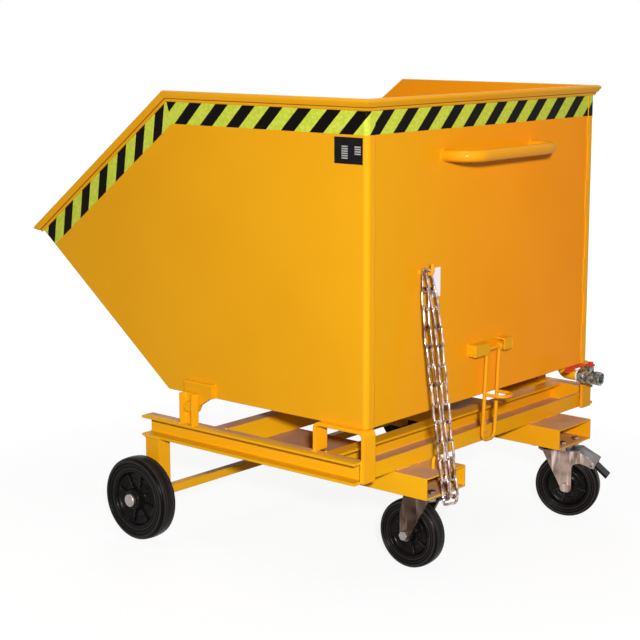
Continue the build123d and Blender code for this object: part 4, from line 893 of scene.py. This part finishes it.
def weldRing(x, place, radius):
    points = [Vector((x, *place)) + spoke * radius for spoke in spokesAround(wayX, weldSizes["ringSteps"])]
    return points + points[:1]


weldSizes = {"postRun": 0.021, "bracketFrom": 0.452, "bracketRun": 0.008, "railInset": 0.004,
             "channelInset": 0.006, "pocketInset": 0.020, "tackFrom": 0.015, "tackTo": 0.055, "lugRun": 0.030,
             "handleGap": 0.001, "hookGap": 0.0008, "ringSteps": 18,
             "stitches": ((0.375, 0.458), (0.540, 0.625), (0.740, 0.825), (0.935, 0.978))}
postLow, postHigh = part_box("pivot_posts")
railLow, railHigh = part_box("side_rail_left")
legLow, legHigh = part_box("front_legs")
bracketLow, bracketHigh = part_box("rest_brackets")
frontLow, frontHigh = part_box("front_cross_channel")
crossLow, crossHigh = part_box("rear_cross_channel")
pocketLow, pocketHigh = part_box("fork_pocket_right")
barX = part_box("rear_bar")[1].x
lugLow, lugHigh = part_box("pivot_lugs")
latchLow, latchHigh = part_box("latch_bracket")
bracketX, bracketY, run = bracketLow.x, bracketHigh.y, weldSizes["bracketRun"]
frameSeams = [[(x, postHigh.y - weldSizes["postRun"], postLow.z), (x, postHigh.y, postLow.z)] for x in
              (postLow.x, postHigh.x)]
frameSeams += [
    [(bracketX, weldSizes["bracketFrom"], railHigh.z), (bracketX, bracketY, railHigh.z),
     (bracketX + run, bracketY, railHigh.z)],
    [(legLow.x, legHigh.y, legHigh.z), (legHigh.x, legHigh.y, legHigh.z)],
    [(bracketHigh.x - run, bracketY, z) for z in
     (railLow.z + weldSizes["railInset"], railHigh.z - weldSizes["railInset"])],
    [(frontHigh.x, frontHigh.y, z) for z in (frontLow.z + weldSizes["channelInset"], frontHigh.z)],
    [(crossLow.x, crossHigh.y, z) for z in (crossLow.z + weldSizes["channelInset"], crossHigh.z)],
    [(crossLow.x, y, pocketHigh.z) for y in
     (pocketLow.y + weldSizes["pocketInset"], pocketHigh.y - weldSizes["pocketInset"])],
    [(barX, pocketLow.y + weldSizes[end], pocketHigh.z) for end in ("tackFrom", "tackTo")],
    [(barX, pocketHigh.y - weldSizes[end], pocketHigh.z) for end in ("tackTo", "tackFrom")]]
growWelds("frameWelds", mirrored(frameSeams), "framePaint", "chassis", pitch=0.0034, radius=0.0032, seed=11)
# stitches down the corner flanges
stitchSeams = [[(wallX, flangeY, z) for z in stitch] for stitch in weldSizes["stitches"]]
growWelds("stitchWelds", mirrored(stitchSeams), "barPaint", "box", pitch=0.0042, radius=0.0040, seed=31)
lugFoot = lugHigh.z - weldSizes["lugRun"]
lugSeam = [(x, halfY, z) for x, z in
           ((lugLow.x, lugFoot), (lugLow.x, lugHigh.z), (lugHigh.x, lugHigh.z), (lugHigh.x, lugFoot))]
handleRing = handleSizes["radius"] + weldSizes["handleGap"]
handleSeam = weldRing(wallX, (handleSizes["half"], handleSizes["height"]), handleRing)
boxSeams = mirrored([lugSeam, handleSeam]) + [
    [(wallX, y, latchHigh.z) for y in (latchLow.y, latchHigh.y)],
    [(wallX, latchLow.y, z) for z in (latchLow.z, latchHigh.z)],
    weldRing(wallX, hookFoot.yz, hookSizes["radius"] + weldSizes["hookGap"])]
growWelds("boxWelds", boxSeams, "boxPaint", "box", pitch=0.0030, radius=0.0026, seed=23)
print("weld beads made")

# camera at the photograph's angle
cameraFacts = {"azimuth": 39.93, "elevation": 10.42, "roll": 0.04, "place": (2.0694, -3.0052, 1.2265),
               "lens": 89.05, "sensor": 36.0, "shift": (-0.03366, -0.01877), "farthest": 60.0}
azimuth, elevation = math.radians(cameraFacts["azimuth"]), math.radians(cameraFacts["elevation"])
backward = Vector((math.sin(azimuth) * math.cos(elevation), -math.cos(azimuth) * math.cos(elevation),
                   math.sin(elevation)))
rightward = Vector((math.cos(azimuth), math.sin(azimuth), 0.0))
turn = Matrix((rightward, backward.cross(rightward), backward)).transposed()
turn = turn @ Matrix.Rotation(math.radians(cameraFacts["roll"]), 3, "Z")
camera = newObject("camera", bpy.data.cameras.new("camera"))
camera.matrix_world = Matrix.Translation(Vector(cameraFacts["place"]) + wayX * rearX) @ turn.to_4x4()
camera.data.sensor_width = cameraFacts["sensor"]
camera.data.lens = cameraFacts["lens"]
camera.data.shift_x, camera.data.shift_y = cameraFacts["shift"]
camera.data.clip_end = cameraFacts["farthest"]
bpy.context.scene.camera = camera

# studio: white world to camera, glossy and transmission rays, pale floor that keeps the shadow
studio = {"ambient": 0.09, "floorHalf": 14.0, "floorRough": 0.9, "floorTone": 0.55, "bounceTone": 0.22,
          "nearGlow": 0.80, "fadeFrom": 0.9, "fadeTo": 1.9, "glowLevel": 1.11}


def seenRays(tree):
    rays = addNode(tree, "ShaderNodeLightPath").outputs
    seen = maths(tree, "MAXIMUM", rays["Is Camera Ray"], rays["Is Glossy Ray"])
    return maths(tree, "MAXIMUM", seen, rays["Is Transmission Ray"])


world = bpy.data.worlds.new("studio")
bpy.context.scene.world = world
world.use_nodes = True
sky = world.node_tree
skyLevel = maths(sky, "MULTIPLY_ADD", seenRays(sky), 1.0 - studio["ambient"], studio["ambient"])
feed(sky, sky.nodes["Background"].inputs["Strength"], skyLevel)
feed(sky, sky.nodes["Background"].inputs["Color"], (1.0, 1.0, 1.0, 1.0))
reach = studio["floorHalf"]
floorMesh = bpy.data.meshes.new("floor")
floorMesh.from_pydata([(-reach, -reach, 0), (reach, -reach, 0), (reach, reach, 0), (-reach, reach, 0)], [],
                      [(0, 1, 2, 3)])
floorPaint, floorTree, floorShader = newMaterial("paleFloor")
floorSeen = seenRays(floorTree)
floorTone = mixColour(floorTree, floorSeen, (studio["bounceTone"],) * 3, (studio["floorTone"],) * 3)
feed(floorTree, floorShader.inputs["Base Color"], floorTone)
feed(floorTree, floorShader.inputs["Roughness"], studio["floorRough"])
fromMiddle = addNode(floorTree, "ShaderNodeVectorMath", {0: objectPlace(floorTree)}, operation="LENGTH")
fade = ramp(floorTree, fromMiddle.outputs["Value"], studio["fadeFrom"], studio["fadeTo"])
glowShare = maths(floorTree, "MULTIPLY_ADD", fade, 1.0 - studio["nearGlow"], studio["nearGlow"])
glow = addNode(floorTree, "ShaderNodeEmission", {"Strength": studio["glowLevel"]})
blendGlow = addNode(floorTree, "ShaderNodeMixShader", {
    0: maths(floorTree, "MULTIPLY", floorSeen, glowShare), 1: floorShader.outputs["BSDF"],
    2: glow.outputs["Emission"]})
feed(floorTree, floorTree.nodes["Material Output"].inputs["Surface"], blendGlow.outputs["Shader"])
floorMesh.materials.append(floorPaint)
newObject("floor", floorMesh)

# lamps: place, size, power, and whether the lamp shows as sheen; the last is a soft fill
lamps = {"keyLamp": ((3.10, -3.36, 1.72), 0.22, 228.0, True), "topLamp": ((0.2, -0.4, 4.2), 2.2, 50.0, True),
         "backLamp": ((-3.1, 3.3, 3.0), 2.4, 125.0, False)}
lampTarget = Vector((0.0, 0.0, 0.6))
for lampName, (place, size, power, sheen) in lamps.items():
    lamp = bpy.data.lights.new(lampName, "AREA")
    lamp.energy = power
    lamp.size = size
    lampHolder = newObject(lampName, lamp)
    lampHolder.location = place
    lampHolder.rotation_euler = (lampTarget - Vector(place)).to_track_quat("-Z", "Y").to_euler()
    lampHolder.visible_glossy = sheen
bpy.context.scene.view_settings.view_transform = "Standard"
print("camera and studio ready")
